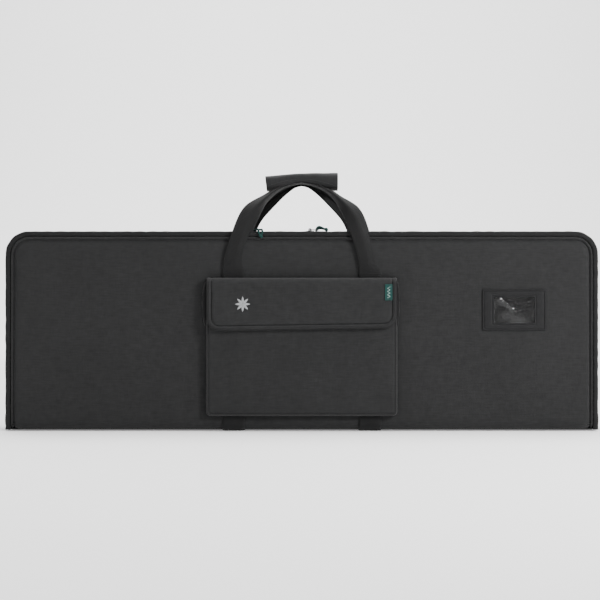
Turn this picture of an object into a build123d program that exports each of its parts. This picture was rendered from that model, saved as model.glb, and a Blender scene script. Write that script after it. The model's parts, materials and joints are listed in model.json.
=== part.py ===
"""Padded carry case for a telescope tube, standing upright on its long base.

The front cover is joined to the back shell by a zip on three sides and folds down about its lower edge.
Millimetres, +Z up, the front faces -Y, and the origin is at the bottom centre of the whole object.
"""

from build123d import *
from math import cos, pi, radians, sin
import os

os.makedirs("parts", exist_ok=True)

# Overall size
case_width = 1010.0  # over the bound edges
case_height = 338.0  # from the underside of the base fabric to the top bound edge
case_depth = 110.0  # from the front fabric to the back fabric
corner_radius = 40.0  # top corners, at the bound edge

# Cloth, foam and webbing
fabric = 1.2  # outer woven fabric
lining = 1.0
panel_foam = 8.0
side_foam = 5.0
base_foam_thickness = 8.0
panel_edge_round = 6.0
webbing_width = 38.0
webbing_thickness = 2.0
body_gap = 0.3  # between soft pieces that move against each other
strip_thickness = 0.8  # hook strip or loop strip
trim_thickness = 0.8  # flap binding, badge and label

# Bound edges
binding_width = 9.0
binding_thickness = 7.0
binding_setback = 4.0  # from the panel's face back to the binding's face
binding_round = 2.4

# Zip
zip_depth = 22.0  # from the front fabric back to the zip's centre line
tape_width = 11.0  # each side
tape_thickness = 1.0
tape_inset = 3.0  # how far the tape and the side fabric lie inside the bound edge
coil_width = 3.0  # each side
coil_rise = 2.4
end_tab_height = 22.0
end_tab_width = 18.0
end_tab_thickness = 3.3
end_tab_foot = 8.0  # above the ground

# Zip sliders and pulls
slider_length = 14.0
slider_wall = 1.4
slider_clearance = 0.4
slider_left_x = -92.0
slider_right_x = 14.0
crown_radius = 2.9
crown_width = 2.0
crown_sink = 1.0  # how far the crown's round eye sinks into the saddle
slider_corner = 2.8
pin_radius = 1.2
pin_clearance = 0.3
fork_clearance = 1.1  # from the crown to the plate that joins the pull's arms
pull_arm = 1.6
pull_length = 14.0
pull_thickness = 1.4
cord_end_length = 14.0
cord_end_width = 9.0
cord_end_thickness = 2.4
cord_end_drop = 9.0

# Webbing and handles
handle_spread = 116.0  # from the middle to each strap's centre at its anchor
anchor_drop = 66.0  # least height from the handle's fold up to the case's top
anchor_rise = 21.0  # least height from the pocket's mouth up to the handle's fold
anchor_gap = 4.0  # from the handle's fold down to the sewn webbing, so that the handle can fold back
handle_rise = 90.0  # from the case's top to the webbing in the middle of the grip
grip_length = 124.0
grip_drop = 13.0  # how much lower the webbing is at the grip's ends than in its middle
folded_width = 19.0  # webbing folded in half inside the grip
folded_thickness = 4.0
handle_gap = 2.0  # between the two handles inside the grip
channel_clearance = 0.6
grip_foam_top = 8.2
grip_foam_bottom = 2.0
grip_foam_side = 4.0
grip_top_drop = 3.0  # how much lower the grip's top is at its ends
grip_round = 5.0
grip_strip_width = 22.0

# Pocket and flap
pocket_width = 325.0
pocket_foot = 26.0  # above the ground
pocket_height = 227.0
pocket_depth = 11.0  # inside, from the case's front fabric
pocket_corner = 8.0
hem_height = 12.0
patch_width = 60.0
patch_height = 25.0
patch_spread = 90.0
patch_rise = 27.0  # from the flap's foot to the patches' middle
flap_width = 330.0
flap_height = 88.0
flap_corner = 22.0
flap_edge_width = 8.0
flap_fold_rise = 6.0  # how far the flap's fold lies above the pocket's mouth
lining_margin = 9.0
badge_radius = 14.0
badge_waist = 6.2
badge_points = 8
badge_x = -100.0
badge_drop = 43.0  # from the flap's fold to the badge's middle
label_width = 12.5
label_height = 27.0
label_x = 147.0
label_drop = 23.0

# Card holder
holder_x = 361.0
holder_middle = 206.0  # above the ground
holder_width = 109.0
holder_height = 71.0
holder_thickness = 1.5
window_width = 68.0
window_height = 44.0
window_thickness = 0.5
window_lap = 4.0  # how far the window reaches under its frame

# Depths are measured back from the front fabric, so what stands in front of it is negative.
flap_back = pocket_depth + fabric + 2 * strip_thickness + body_gap
flap_front = flap_back + lining + fabric
front_stack = flap_front + trim_thickness
front_y = -(front_stack + case_depth + webbing_thickness) / 2 + front_stack
middle_depth = case_depth / 2
panel_depth = binding_setback + binding_thickness
far = case_depth  # the back fabric's outer face

# Heights above the ground and half widths
base_z = webbing_thickness
top_z = base_z + case_height
fold_radius = fabric / 2
fold_z = front_stack + 2 * fold_radius
cover_foot = fold_z + fold_radius + body_gap
foam_z = base_z + fabric
floor_z = foam_z + base_foam_thickness
inside_z = floor_z + lining
half_width = case_width / 2
side_x = half_width - tape_inset
bound_x = half_width - binding_width
foam_inset = tape_inset + fabric
lining_inset = foam_inset + side_foam
inner_inset = binding_width + fabric
back_zip_end = zip_depth + tape_width
flap_axis_depth = -(flap_back + lining + fold_radius)
mouth_z = pocket_foot + pocket_height
flap_axis_z = mouth_z + flap_fold_rise
flap_foot = flap_axis_z - flap_height
pocket_front = pocket_depth + fabric
anchor_height = max(mouth_z + anchor_rise, top_z - anchor_drop)


def at_depth(depth):
    """The Y of a depth behind the front fabric."""
    return front_y + depth


def facing(depth):
    """Plane at a depth, facing the front, with X to the right and Z up."""
    return Plane.XZ.offset(-at_depth(depth))


def box(x, depth, z, mode=Mode.ADD):
    """Box between a pair of limits along X, depth and Z, in the open part."""
    middle = (sum(x) / 2, at_depth(sum(depth) / 2), sum(z) / 2)
    with Locations(middle):
        Box(x[1] - x[0], depth[1] - depth[0], z[1] - z[0], mode=mode)


def arch(inset, foot):
    """The case's outline inside its bound edge, down to the height foot."""
    side = half_width - inset
    top = top_z - inset
    with BuildSketch() as outline:
        with BuildLine():
            FilletPolyline(
                (-side, foot), (-side, top), (side, top), (side, foot), radius=corner_radius - inset
            )
            Line((side, foot), (-side, foot))
        make_face()
    return outline.sketch


def arch_band(outer, inner, near, back, foot):
    """Band up one side, over the top and down the other, between two insets and two depths."""
    with BuildPart() as band:
        with BuildSketch(facing(back)):
            add(arch(outer, foot))
            add(arch(inner, foot - case_height), mode=Mode.SUBTRACT)
        extrude(amount=back - near)
    return band.part


def cushion(inset, near, back, foot, rounding):
    """Slab in the case's outline with a rounded front edge on its sides and top."""
    with BuildPart() as slab:
        with BuildSketch(facing(back)):
            add(arch(inset, foot))
        extrude(amount=back - near)
        rim = slab.faces().sort_by(Axis.Y)[0].edges().sort_by(Axis.Z)[1:]
        fillet(rim, rounding)
    return slab.part


def mirrored(shape):
    """The same shape at the back of the case."""
    return mirror(shape, about=facing(middle_depth))


def save(piece, name):
    """Label a finished piece and write it."""
    piece.part.label = name
    export_step(piece.part, f"parts/{name}.step")


# ---- Panels: a padded slab of fabric, foam and lining at the front and at the back ----

panel_hollow = cushion(
    inner_inset, fabric, panel_depth + fabric, cover_foot - fabric, panel_edge_round - fabric
)
panel_shell = cushion(binding_width, 0, panel_depth, cover_foot, panel_edge_round)

with BuildPart() as front_panel_fabric:
    add(panel_shell)
    add(panel_hollow, mode=Mode.SUBTRACT)
save(front_panel_fabric, "front_panel_fabric")

with BuildPart() as back_panel_fabric:
    add(mirrored(panel_shell))
    add(mirrored(panel_hollow), mode=Mode.SUBTRACT)
save(back_panel_fabric, "back_panel_fabric")

foam_back = fabric + panel_foam

with BuildPart() as front_panel_foam:
    add(cushion(inner_inset, fabric, foam_back, cover_foot, panel_edge_round - fabric))
save(front_panel_foam, "front_panel_foam")

with BuildPart() as back_panel_foam:
    add(mirrored(cushion(inner_inset, fabric, foam_back, inside_z, panel_edge_round - fabric)))
save(back_panel_foam, "back_panel_foam")

with BuildPart() as front_panel_lining:
    with BuildSketch(facing(foam_back + lining)):
        add(arch(inner_inset, cover_foot))
    extrude(amount=lining)
save(front_panel_lining, "front_panel_lining")

with BuildPart() as back_panel_lining:
    with BuildSketch(facing(far - foam_back)):
        add(arch(inner_inset, inside_z))
    extrude(amount=lining)
save(back_panel_lining, "back_panel_lining")

# ---- Sides: fabric, foam and lining that run up, over and down, and the floor between them ----

with BuildPart() as side_fabric:
    add(arch_band(tape_inset, foam_inset, back_zip_end, far - panel_depth, base_z + fabric))
    for side in (-1, 1):
        wall = sorted((side * side_x, side * (side_x - fabric)))
        box(wall, (panel_depth, back_zip_end), (base_z + fabric, fold_z))
save(side_fabric, "side_fabric")

with BuildPart() as side_foam_layer:
    add(arch_band(foam_inset, lining_inset, back_zip_end, far - panel_depth, foam_z))
save(side_foam_layer, "side_foam")

with BuildPart() as side_lining:
    add(arch_band(lining_inset, lining_inset + lining, back_zip_end, far - panel_depth, inside_z))
save(side_lining, "side_lining")

# The base is folded up at the front as far as the cover's fold, and at the back to the panel.
with BuildPart() as base_fabric:
    box((-side_x, side_x), (0, far), (base_z, cover_foot))
    past_foot = cover_foot + fabric
    box((-half_width, half_width), (fabric, far - fabric), (foam_z, past_foot), Mode.SUBTRACT)
    box((-half_width, half_width), (-fabric, 2 * fabric), (fold_z, past_foot), Mode.SUBTRACT)
    for side in (-1, 1):
        corner = sorted((side * bound_x, side * half_width))
        box(corner, (binding_setback, panel_depth), (0, cover_foot), Mode.SUBTRACT)
        box(corner, (far - panel_depth, far - binding_setback), (0, cover_foot), Mode.SUBTRACT)
    with Locations((0, at_depth(fold_radius), fold_z)):
        Cylinder(fold_radius, 2 * side_x, rotation=(0, 90, 0))
save(base_fabric, "base_fabric")

floor_x = half_width - lining_inset

with BuildPart() as base_foam:
    box((-floor_x, floor_x), (fabric, far - fabric), (foam_z, floor_z))
save(base_foam, "base_foam")

with BuildPart() as base_lining:
    box((-floor_x, floor_x), (fabric, far - fabric), (floor_z, inside_z))
save(base_lining, "base_lining")


# ---- Bound edges: ribbed tape folded over the seams of both panels ----


def bound_edge(foot):
    """Rounded band of tape around the front panel, down to the height foot."""
    with BuildPart() as band:
        add(arch_band(0, binding_width, binding_setback, panel_depth, foot))
        faces = band.faces().sort_by(Axis.Y)
        long_edges = faces[0].edges() + faces[-1].edges()
        fillet([e for e in long_edges if e.center().Z > foot + binding_round], binding_round)
    return band.part


with BuildPart() as front_binding:
    add(bound_edge(cover_foot))
save(front_binding, "front_binding")

with BuildPart() as back_binding:
    add(mirrored(bound_edge(base_z)))
save(back_binding, "back_binding")

with BuildPart() as front_binding_ends:
    add(bound_edge(base_z))
    box((-case_width, case_width), (-case_depth, case_depth), (fold_z, 2 * top_z), Mode.SUBTRACT)
save(front_binding_ends, "front_binding_ends")

# ---- Zip: a tape and half of the coil on each side of its centre line ----

tape_back = tape_inset + tape_thickness
coil_top = tape_inset - coil_rise

with BuildPart() as front_zip_tape:
    add(arch_band(tape_inset, tape_back, panel_depth, zip_depth - body_gap / 2, cover_foot))
save(front_zip_tape, "front_zip_tape")

with BuildPart() as front_zip_coil:
    add(arch_band(coil_top, tape_inset, zip_depth - coil_width, zip_depth - body_gap / 2, cover_foot))
save(front_zip_coil, "front_zip_coil")

with BuildPart() as back_zip_tape:
    add(arch_band(tape_inset, tape_back, zip_depth + body_gap / 2, back_zip_end, cover_foot))
save(back_zip_tape, "back_zip_tape")

with BuildPart() as back_zip_coil:
    add(arch_band(coil_top, tape_inset, zip_depth + body_gap / 2, zip_depth + coil_width, cover_foot))
save(back_zip_coil, "back_zip_coil")

# Each end of the zip is covered by a folded tab, sewn to the side below the coil.
tab_top = end_tab_foot + end_tab_height
tab_limits = (zip_depth - end_tab_width / 2, zip_depth + end_tab_width / 2)
for name, side in (("zip_end_tab_left", -1), ("zip_end_tab_right", 1)):
    tab_inner = half_width - coil_top + body_gap
    tab_plate = sorted((side * tab_inner, side * (tab_inner + end_tab_thickness)))
    tab_root = sorted((side * side_x, side * tab_inner))
    with BuildPart() as zip_end_tab:
        box(tab_plate, tab_limits, (end_tab_foot, tab_top))
        outer = zip_end_tab.faces().sort_by(Axis.X)[-1 if side > 0 else 0]
        fillet(outer.edges(), end_tab_thickness / 2)
        box(tab_root, tab_limits, (end_tab_foot, fold_z - 2 * body_gap))
    save(zip_end_tab, name)

# ---- Zip sliders: a saddle over the coil and a plate inside, with a crown for the pull ----

coil_z = top_z - coil_top
tape_z = top_z - tape_inset
saddle_z = coil_z + slider_clearance
crown_z = saddle_z + slider_wall + crown_radius - crown_sink
saddle_half = coil_width + slider_clearance + slider_wall
sliders = (("left", slider_left_x, True), ("right", slider_right_x, False))

for hand, centre, _ in sliders:
    ends = (centre - slider_length / 2, centre + slider_length / 2)
    inner = (zip_depth - saddle_half + slider_wall, zip_depth + saddle_half - slider_wall)
    with BuildPart() as slider:
        breadth = (zip_depth - saddle_half, zip_depth + saddle_half)
        box(ends, breadth, (saddle_z, saddle_z + slider_wall))
        corners = slider.edges().filter_by(Axis.Z)
        fillet(corners, slider_corner)
        for rail in ((inner[0] - slider_wall, inner[0]), (inner[1], inner[1] + slider_wall)):
            box(
                (ends[0] + slider_corner, ends[1] - slider_corner),
                rail,
                (tape_z + slider_clearance, saddle_z),
            )
        under = tape_z - tape_thickness - slider_clearance
        box(ends, breadth, (under - slider_wall, under))
        with BuildSketch(facing(zip_depth + crown_width / 2)):
            with Locations((centre, crown_z)):
                Circle(crown_radius)
            with Locations((centre, (crown_z + saddle_z) / 2)):
                Rectangle(2 * crown_radius, crown_z - saddle_z)
            with Locations((centre, crown_z)):
                Circle(pin_radius + pin_clearance, mode=Mode.SUBTRACT)
        extrude(amount=crown_width)
    save(slider, f"slider_{hand}")

# Each pull is a small fork on a pin through the crown, lying along the zip, with a soft cord end.
fork_inner = crown_width / 2 + pin_clearance
fork_outer = fork_inner + pull_arm

for hand, centre, drapes in sliders:
    plate_start = centre + crown_radius + fork_clearance
    plate_end = centre + pull_length
    low, high = crown_z - pull_thickness / 2, crown_z + pull_thickness / 2
    with BuildPart() as pull_tab:
        with Locations((centre, at_depth(zip_depth), crown_z)):
            Cylinder(pin_radius, 2 * fork_outer, rotation=(90, 0, 0))
        for sign in (-1, 1):
            arm = sorted((zip_depth + sign * fork_inner, zip_depth + sign * fork_outer))
            box((centre, plate_start), arm, (low, high))
        box((plate_start, plate_end), (zip_depth - fork_outer, zip_depth + fork_outer), (low, high))
        fillet(pull_tab.edges().filter_by(Axis.Z).sort_by(Axis.X)[-2:], pull_arm)
    save(pull_tab, f"pull_tab_{hand}")

    cord_low = crown_z - cord_end_thickness / 2
    cord_high = crown_z + cord_end_thickness / 2
    half_cord = cord_end_width / 2
    with BuildPart() as pull_cord:
        cord_x = (plate_end, plate_end + cord_end_length)
        box(cord_x, (zip_depth - half_cord, zip_depth + half_cord), (cord_low, cord_high))
        if drapes:
            lip = binding_setback - body_gap
            box(cord_x, (lip - cord_end_thickness, zip_depth), (cord_low, cord_high))
            drop = (cord_high - cord_end_drop, cord_high)
            box(cord_x, (lip - cord_end_thickness, lip), drop)
        rims = pull_cord.edges().filter_by(Axis.Y).group_by(Axis.X)
        fillet(rims[-1], cord_end_thickness / 3)
    save(pull_cord, f"pull_cord_{hand}")

# ---- Sewn webbing: down the front, under the base and up the back, split at the cover's fold ----

split_top = fold_z - webbing_thickness - fold_radius - body_gap
sewn_top = anchor_height - anchor_gap

for hand, side in (("left", -1), ("right", 1)):
    strap = (side * handle_spread - webbing_width / 2, side * handle_spread + webbing_width / 2)

    with BuildPart() as front_webbing:
        box(strap, (-webbing_thickness, 0), (cover_foot, sewn_top))
    save(front_webbing, f"front_webbing_{hand}")

    with BuildPart() as back_webbing:
        box(strap, (-webbing_thickness, 0), (0, split_top))
        box(strap, (-webbing_thickness, far + webbing_thickness), (0, webbing_thickness))
        box(strap, (far, far + webbing_thickness), (0, sewn_top))
    save(back_webbing, f"back_webbing_{hand}")


# ---- Handles: webbing that leaves each panel, leans in over the case and lies folded in the grip ----

grip_half = grip_length / 2
grip_middle_z = top_z + handle_rise
grip_end_z = grip_middle_z - grip_drop
grip_radius = (grip_half**2 + grip_drop**2) / (2 * grip_drop)
strap_depth = -(webbing_thickness / 2 + body_gap)
grip_depth = middle_depth - handle_gap / 2 - folded_width / 2

# Share of the spread, of the rise, of the lean and of the quarter twist, from the anchor to the grip
strap_course = (
    (1.00, 0.00, 0.00, 0.00),
    (0.91, 0.17, 0.00, 0.00),
    (0.79, 0.35, 0.00, 0.00),
    (0.65, 0.51, 0.00, 0.00),
    (0.52, 0.62, 0.04, 0.12),
    (0.40, 0.72, 0.14, 0.32),
    (0.27, 0.82, 0.35, 0.55),
    (0.15, 0.90, 0.62, 0.78),
)
grip_stations = 6
grip_exit = 4.0  # straight webbing past each end of the grip


def strap_stations():
    """Centre, twist and direction of the webbing from its right anchor to the middle of the grip."""
    in_grip = []
    arc_middle = grip_middle_z - grip_radius
    for step in range(grip_stations + 1):
        x = grip_half * (1 - step / grip_stations)
        z = arc_middle + (grip_radius**2 - x**2) ** 0.5
        direction = Vector(arc_middle - z, 0, x).normalized()
        in_grip.append((Vector(x, at_depth(grip_depth), z), 1.0, direction))
    grip_end, _, inward = in_grip[0]
    leave = grip_end - inward * grip_exit
    anchor = Vector(handle_spread, at_depth(strap_depth), anchor_height)
    centres = []
    for spread, rise, lean, _ in strap_course:
        x = leave.X + (anchor.X - leave.X) * spread
        y = anchor.Y + (leave.Y - anchor.Y) * lean
        z = anchor.Z + (leave.Z - anchor.Z) * rise
        centres.append(Vector(x, y, z))
    centres.append(leave)
    free = [(anchor, 0.0, Vector(0, 0, 1))]
    for n in range(1, len(strap_course)):
        direction = (centres[n + 1] - centres[n - 1]).normalized()
        free.append((centres[n], strap_course[n][3], direction))
    return free + [(leave, 1.0, inward)] + in_grip


def strap_section(centre, twist, along, side):
    """Plane across the webbing, its width turned from across the panel to across the grip."""
    across = along.cross(Vector(0, 1, 0)).normalized()
    level = (Vector(0, 1, 0) - along * along.Y).normalized()
    width_direction = across * cos(twist * pi / 2) - level * (side * sin(twist * pi / 2))
    return Plane(origin=centre, x_dir=width_direction, z_dir=along)


def handle_webbing():
    """The front handle's webbing, from one anchor to the other."""
    right = strap_stations()
    left = [(Vector(-c.X, c.Y, c.Z), twist, Vector(d.X, -d.Y, -d.Z)) for c, twist, d in right[-2::-1]]
    with BuildPart() as strap:
        for side, stations in ((1, right), (-1, left)):
            for centre, twist, along in stations:
                with BuildSketch(strap_section(centre, twist, along, side)):
                    width = webbing_width + (folded_width - webbing_width) * twist
                    thickness = webbing_thickness + (folded_thickness - webbing_thickness) * twist
                    Rectangle(width, thickness)
        loft(ruled=True)
        for side in (-1, 1):
            with Locations((side * handle_spread, at_depth(strap_depth), anchor_height)):
                Cylinder(webbing_thickness / 2, webbing_width, rotation=(0, 90, 0))
    return strap.part


front_strap = handle_webbing()

with BuildPart() as front_handle_webbing:
    add(front_strap)
save(front_handle_webbing, "front_handle_webbing")

with BuildPart() as back_handle_webbing:
    add(mirrored(front_strap))
save(back_handle_webbing, "back_handle_webbing")


# ---- Grip: a padded wrap around both handles, closed underneath with hook and loop ----


def grip_band(low, high, half_breadth):
    """Arched band across the grip, between two heights over the webbing's centre line."""
    ends = grip_end_z
    crest = grip_middle_z
    with BuildPart() as band:
        with BuildSketch(facing(middle_depth + half_breadth)):
            with BuildLine():
                ThreePointArc((-grip_half, ends + low), (0, crest + low), (grip_half, ends + low))
                Line((grip_half, ends + low), (grip_half, ends + high))
                ThreePointArc((grip_half, ends + high), (0, crest + high), (-grip_half, ends + high))
                Line((-grip_half, ends + high), (-grip_half, ends + low))
            make_face()
        extrude(amount=2 * half_breadth)
    return band.part


def grip_block(grow):
    """The grip's padding grown on all sides: arched below, nearly straight on top."""
    low = -(folded_thickness / 2 + channel_clearance + grip_foam_bottom + grow)
    crown = grip_middle_z + folded_thickness / 2 + channel_clearance + grip_foam_top + grow
    half_breadth = handle_gap / 2 + folded_width + channel_clearance + grip_foam_side + grow
    with BuildPart() as block:
        with BuildSketch(facing(middle_depth + half_breadth)):
            with BuildLine():
                left, right = (-grip_half, grip_end_z + low), (grip_half, grip_end_z + low)
                ThreePointArc(left, (0, grip_middle_z + low), right)
                Line(right, (grip_half, crown - grip_top_drop))
                ThreePointArc(
                    (grip_half, crown - grip_top_drop), (0, crown), (-grip_half, crown - grip_top_drop)
                )
                Line((-grip_half, crown - grip_top_drop), left)
            make_face()
        extrude(amount=2 * half_breadth)
        long_edges = [e for e in block.edges() if abs(e.center().X) < grip_round]
        fillet(long_edges, grip_round + grow)
    return block.part


channel_half = folded_thickness / 2 + channel_clearance
channel_breadth = handle_gap / 2 + folded_width + channel_clearance
wrap_low = -(channel_half + grip_foam_bottom + fabric)

with BuildPart() as grip_padding:
    add(grip_block(0))
    add(grip_band(-channel_half, channel_half, channel_breadth), mode=Mode.SUBTRACT)
save(grip_padding, "grip_padding")

with BuildPart() as grip_fabric:
    add(grip_block(fabric))
    add(grip_block(0), mode=Mode.SUBTRACT)
save(grip_fabric, "grip_fabric")

with BuildPart() as grip_loop_strip:
    add(grip_band(wrap_low - strip_thickness, wrap_low, grip_strip_width / 2))
save(grip_loop_strip, "grip_loop_strip")

with BuildPart() as grip_hook_strip:
    add(grip_band(wrap_low - 2 * strip_thickness, wrap_low - strip_thickness, grip_strip_width / 2))
save(grip_hook_strip, "grip_hook_strip")

# ---- Pocket: a shallow box of fabric on the front cover, open at the top under its flap ----

pocket_half = pocket_width / 2
straps = [
    (side * handle_spread - webbing_width / 2, side * handle_spread + webbing_width / 2)
    for side in (-1, 1)
]

with BuildPart() as pocket_side:
    with BuildSketch(facing(0)):
        with Locations((0, pocket_foot + pocket_height / 2)):
            outline = RectangleRounded(pocket_width, pocket_height, pocket_corner)
            offset(outline, amount=-fabric, mode=Mode.SUBTRACT)
    extrude(amount=pocket_depth)
    above = (mouth_z - pocket_corner, top_z)
    box((-half_width, half_width), (-case_depth, fabric), above, Mode.SUBTRACT)
    for side in (-1, 1):
        wall = sorted((side * pocket_half, side * (pocket_half - fabric)))
        box(wall, (-pocket_depth, 0), (mouth_z - pocket_corner, mouth_z))
    for strap in straps:
        box(strap, (-webbing_thickness, 0), (0, pocket_foot + fabric), Mode.SUBTRACT)
save(pocket_side, "pocket_side")

with BuildPart() as pocket_front_panel:
    with BuildSketch(facing(-pocket_depth)):
        with Locations((0, pocket_foot + pocket_height / 2)):
            Rectangle(pocket_width, pocket_height)
    extrude(amount=fabric)
    bottom_edges = pocket_front_panel.edges().filter_by(Axis.Y).group_by(Axis.Z)[0]
    fillet(bottom_edges, pocket_corner)
save(pocket_front_panel, "pocket_front")

with BuildPart() as pocket_hem:
    box(
        (-pocket_half + fabric, pocket_half - fabric),
        (-pocket_depth, -pocket_depth + lining),
        (mouth_z - hem_height, mouth_z),
    )
save(pocket_hem, "pocket_hem")

patch_z = flap_foot + patch_rise


def patches(near, back):
    """A pair of hook or loop patches between two depths."""
    for side in (-1, 1):
        x = side * patch_spread
        box(
            (x - patch_width / 2, x + patch_width / 2),
            (near, back),
            (patch_z - patch_height / 2, patch_z + patch_height / 2),
        )


with BuildPart() as pocket_loop_patches:
    patches(-pocket_front - strip_thickness, -pocket_front)
save(pocket_loop_patches, "pocket_loop_patches")

# The flap's top is sewn to the cover over the straps, and the flap folds along its front edge.
with BuildPart() as flap_top_strip:
    strip_front = flap_axis_depth + fold_radius + body_gap
    box(
        (-flap_width / 2, flap_width / 2),
        (strip_front, 0),
        (flap_axis_z - fold_radius, flap_axis_z + fold_radius),
    )
    for strap in straps:
        box(strap, (-webbing_thickness, 0), (0, top_z), Mode.SUBTRACT)
save(flap_top_strip, "flap_top_strip")


def flap_outline(margin, top):
    """The flap's outline inside a margin, rounded at its lower corners."""
    half = flap_width / 2 - margin
    low = flap_foot + margin
    with BuildSketch() as outline:
        with BuildLine():
            corners = ((-half, top), (-half, low), (half, low), (half, top))
            FilletPolyline(*corners, radius=flap_corner - margin)
            Line((half, top), (-half, top))
        make_face()
    return outline.sketch


with BuildPart() as flap_fabric:
    with BuildSketch(facing(flap_axis_depth + fold_radius)):
        add(flap_outline(0, flap_axis_z))
    extrude(amount=fabric)
    with Locations((0, at_depth(flap_axis_depth), flap_axis_z)):
        Cylinder(fold_radius, flap_width, rotation=(0, 90, 0))
save(flap_fabric, "flap_fabric")

with BuildPart() as flap_lining:
    with BuildSketch(facing(-flap_back)):
        add(flap_outline(lining_margin / 3, flap_axis_z - lining_margin))
    extrude(amount=lining)
save(flap_lining, "flap_lining")

with BuildPart() as flap_hook_patches:
    patches(-flap_back, -flap_back + strip_thickness)
save(flap_hook_patches, "flap_hook_patches")

with BuildPart() as flap_binding:
    with BuildSketch(facing(-flap_front)):
        add(flap_outline(0, flap_axis_z - fabric))
        add(flap_outline(flap_edge_width, flap_axis_z), mode=Mode.SUBTRACT)
    extrude(amount=trim_thickness)
save(flap_binding, "flap_binding")

with BuildPart() as star_badge:
    with BuildSketch(facing(-flap_front)):
        with BuildLine():
            corners = []
            for n in range(2 * badge_points):
                reach = badge_radius if n % 2 == 0 else badge_waist
                turn = radians(90 + 180 * n / badge_points)
                corner_x = badge_x + reach * cos(turn)
                corners.append((corner_x, flap_axis_z - badge_drop + reach * sin(turn)))
            Polyline(*corners, close=True)
        make_face()
    extrude(amount=trim_thickness)
save(star_badge, "star_badge")

with BuildPart() as woven_label:
    with BuildSketch(facing(-flap_front)):
        with Locations((label_x, flap_axis_z - label_drop)):
            Rectangle(label_width, label_height)
    extrude(amount=trim_thickness)
save(woven_label, "woven_label")

# ---- Card holder: a clear window behind a stitched frame ----

with BuildPart() as holder_frame:
    with BuildSketch(facing(0)):
        with Locations((holder_x, holder_middle)):
            RectangleRounded(holder_width, holder_height, holder_thickness)
            Rectangle(window_width, window_height, mode=Mode.SUBTRACT)
    extrude(amount=holder_thickness)
    window_x = (
        holder_x - window_width / 2 - window_lap,
        holder_x + window_width / 2 + window_lap,
    )
    window_z = (
        holder_middle - window_height / 2 - window_lap,
        holder_middle + window_height / 2 + window_lap,
    )
    box(window_x, (-window_thickness, 0), window_z, Mode.SUBTRACT)
save(holder_frame, "card_holder_frame")

with BuildPart() as holder_window:
    box(window_x, (-window_thickness, 0), window_z)
save(holder_window, "card_window")
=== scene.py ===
"""Looks of the padded telescope carry case, built round its CAD frame. Metres; the front faces -Y."""

import json
from math import ceil, copysign, cos, hypot, pi, radians, sin, sqrt
import bpy
import numpy as np
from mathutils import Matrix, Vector
from mathutils.bvhtree import BVHTree


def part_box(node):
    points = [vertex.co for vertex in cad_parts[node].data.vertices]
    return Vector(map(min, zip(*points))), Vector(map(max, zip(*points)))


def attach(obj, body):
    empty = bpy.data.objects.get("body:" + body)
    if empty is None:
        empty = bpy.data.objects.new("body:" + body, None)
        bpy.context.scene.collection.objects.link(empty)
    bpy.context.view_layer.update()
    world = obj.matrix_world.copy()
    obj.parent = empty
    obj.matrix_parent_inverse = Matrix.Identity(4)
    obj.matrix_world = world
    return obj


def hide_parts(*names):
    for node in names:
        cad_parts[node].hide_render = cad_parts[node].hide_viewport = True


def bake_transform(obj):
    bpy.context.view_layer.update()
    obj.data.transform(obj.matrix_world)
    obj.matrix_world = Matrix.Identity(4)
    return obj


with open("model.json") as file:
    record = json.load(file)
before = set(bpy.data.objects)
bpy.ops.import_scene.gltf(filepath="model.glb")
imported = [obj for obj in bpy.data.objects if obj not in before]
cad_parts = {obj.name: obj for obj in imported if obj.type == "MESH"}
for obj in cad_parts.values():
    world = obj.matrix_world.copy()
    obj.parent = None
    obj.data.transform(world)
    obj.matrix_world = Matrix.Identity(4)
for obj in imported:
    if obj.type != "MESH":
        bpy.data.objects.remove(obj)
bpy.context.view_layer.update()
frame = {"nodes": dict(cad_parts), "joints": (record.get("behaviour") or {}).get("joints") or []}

MM = 0.001

# ---- Places, read from the frame ----

joint_at = {j["name"]: Vector(j["pos_m"]) for j in frame["joints"] if "pos_m" in j}
outline_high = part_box("back_binding")[1]
half_width = outline_high.x
top_z = outline_high.z
base_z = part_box("base_fabric")[0].z
front_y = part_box("front_panel_fabric")[0].y
back_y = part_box("back_panel_fabric")[1].y
middle_y = (front_y + back_y) / 2
fold_z = joint_at["cover_fold"].z
floor_inside_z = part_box("base_lining")[1].z
corner_radius = 40 * MM
binding_inset = half_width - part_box("front_panel_fabric")[1].x
tape_inset = half_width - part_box("side_fabric")[1].x
lining_inset = half_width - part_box("side_lining")[1].x
case_depth = back_y - front_y
strap_low, strap_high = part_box("front_webbing_right")
strap_x = (strap_low.x + strap_high.x) / 2
strap_width = strap_high.x - strap_low.x
strap_end_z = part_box("flap_top_strip")[1].z + 1 * MM


def at_depth(depth):
    """The Y of a depth behind the front fabric."""
    return front_y + depth


# ---- Mesh helpers ----


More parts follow.
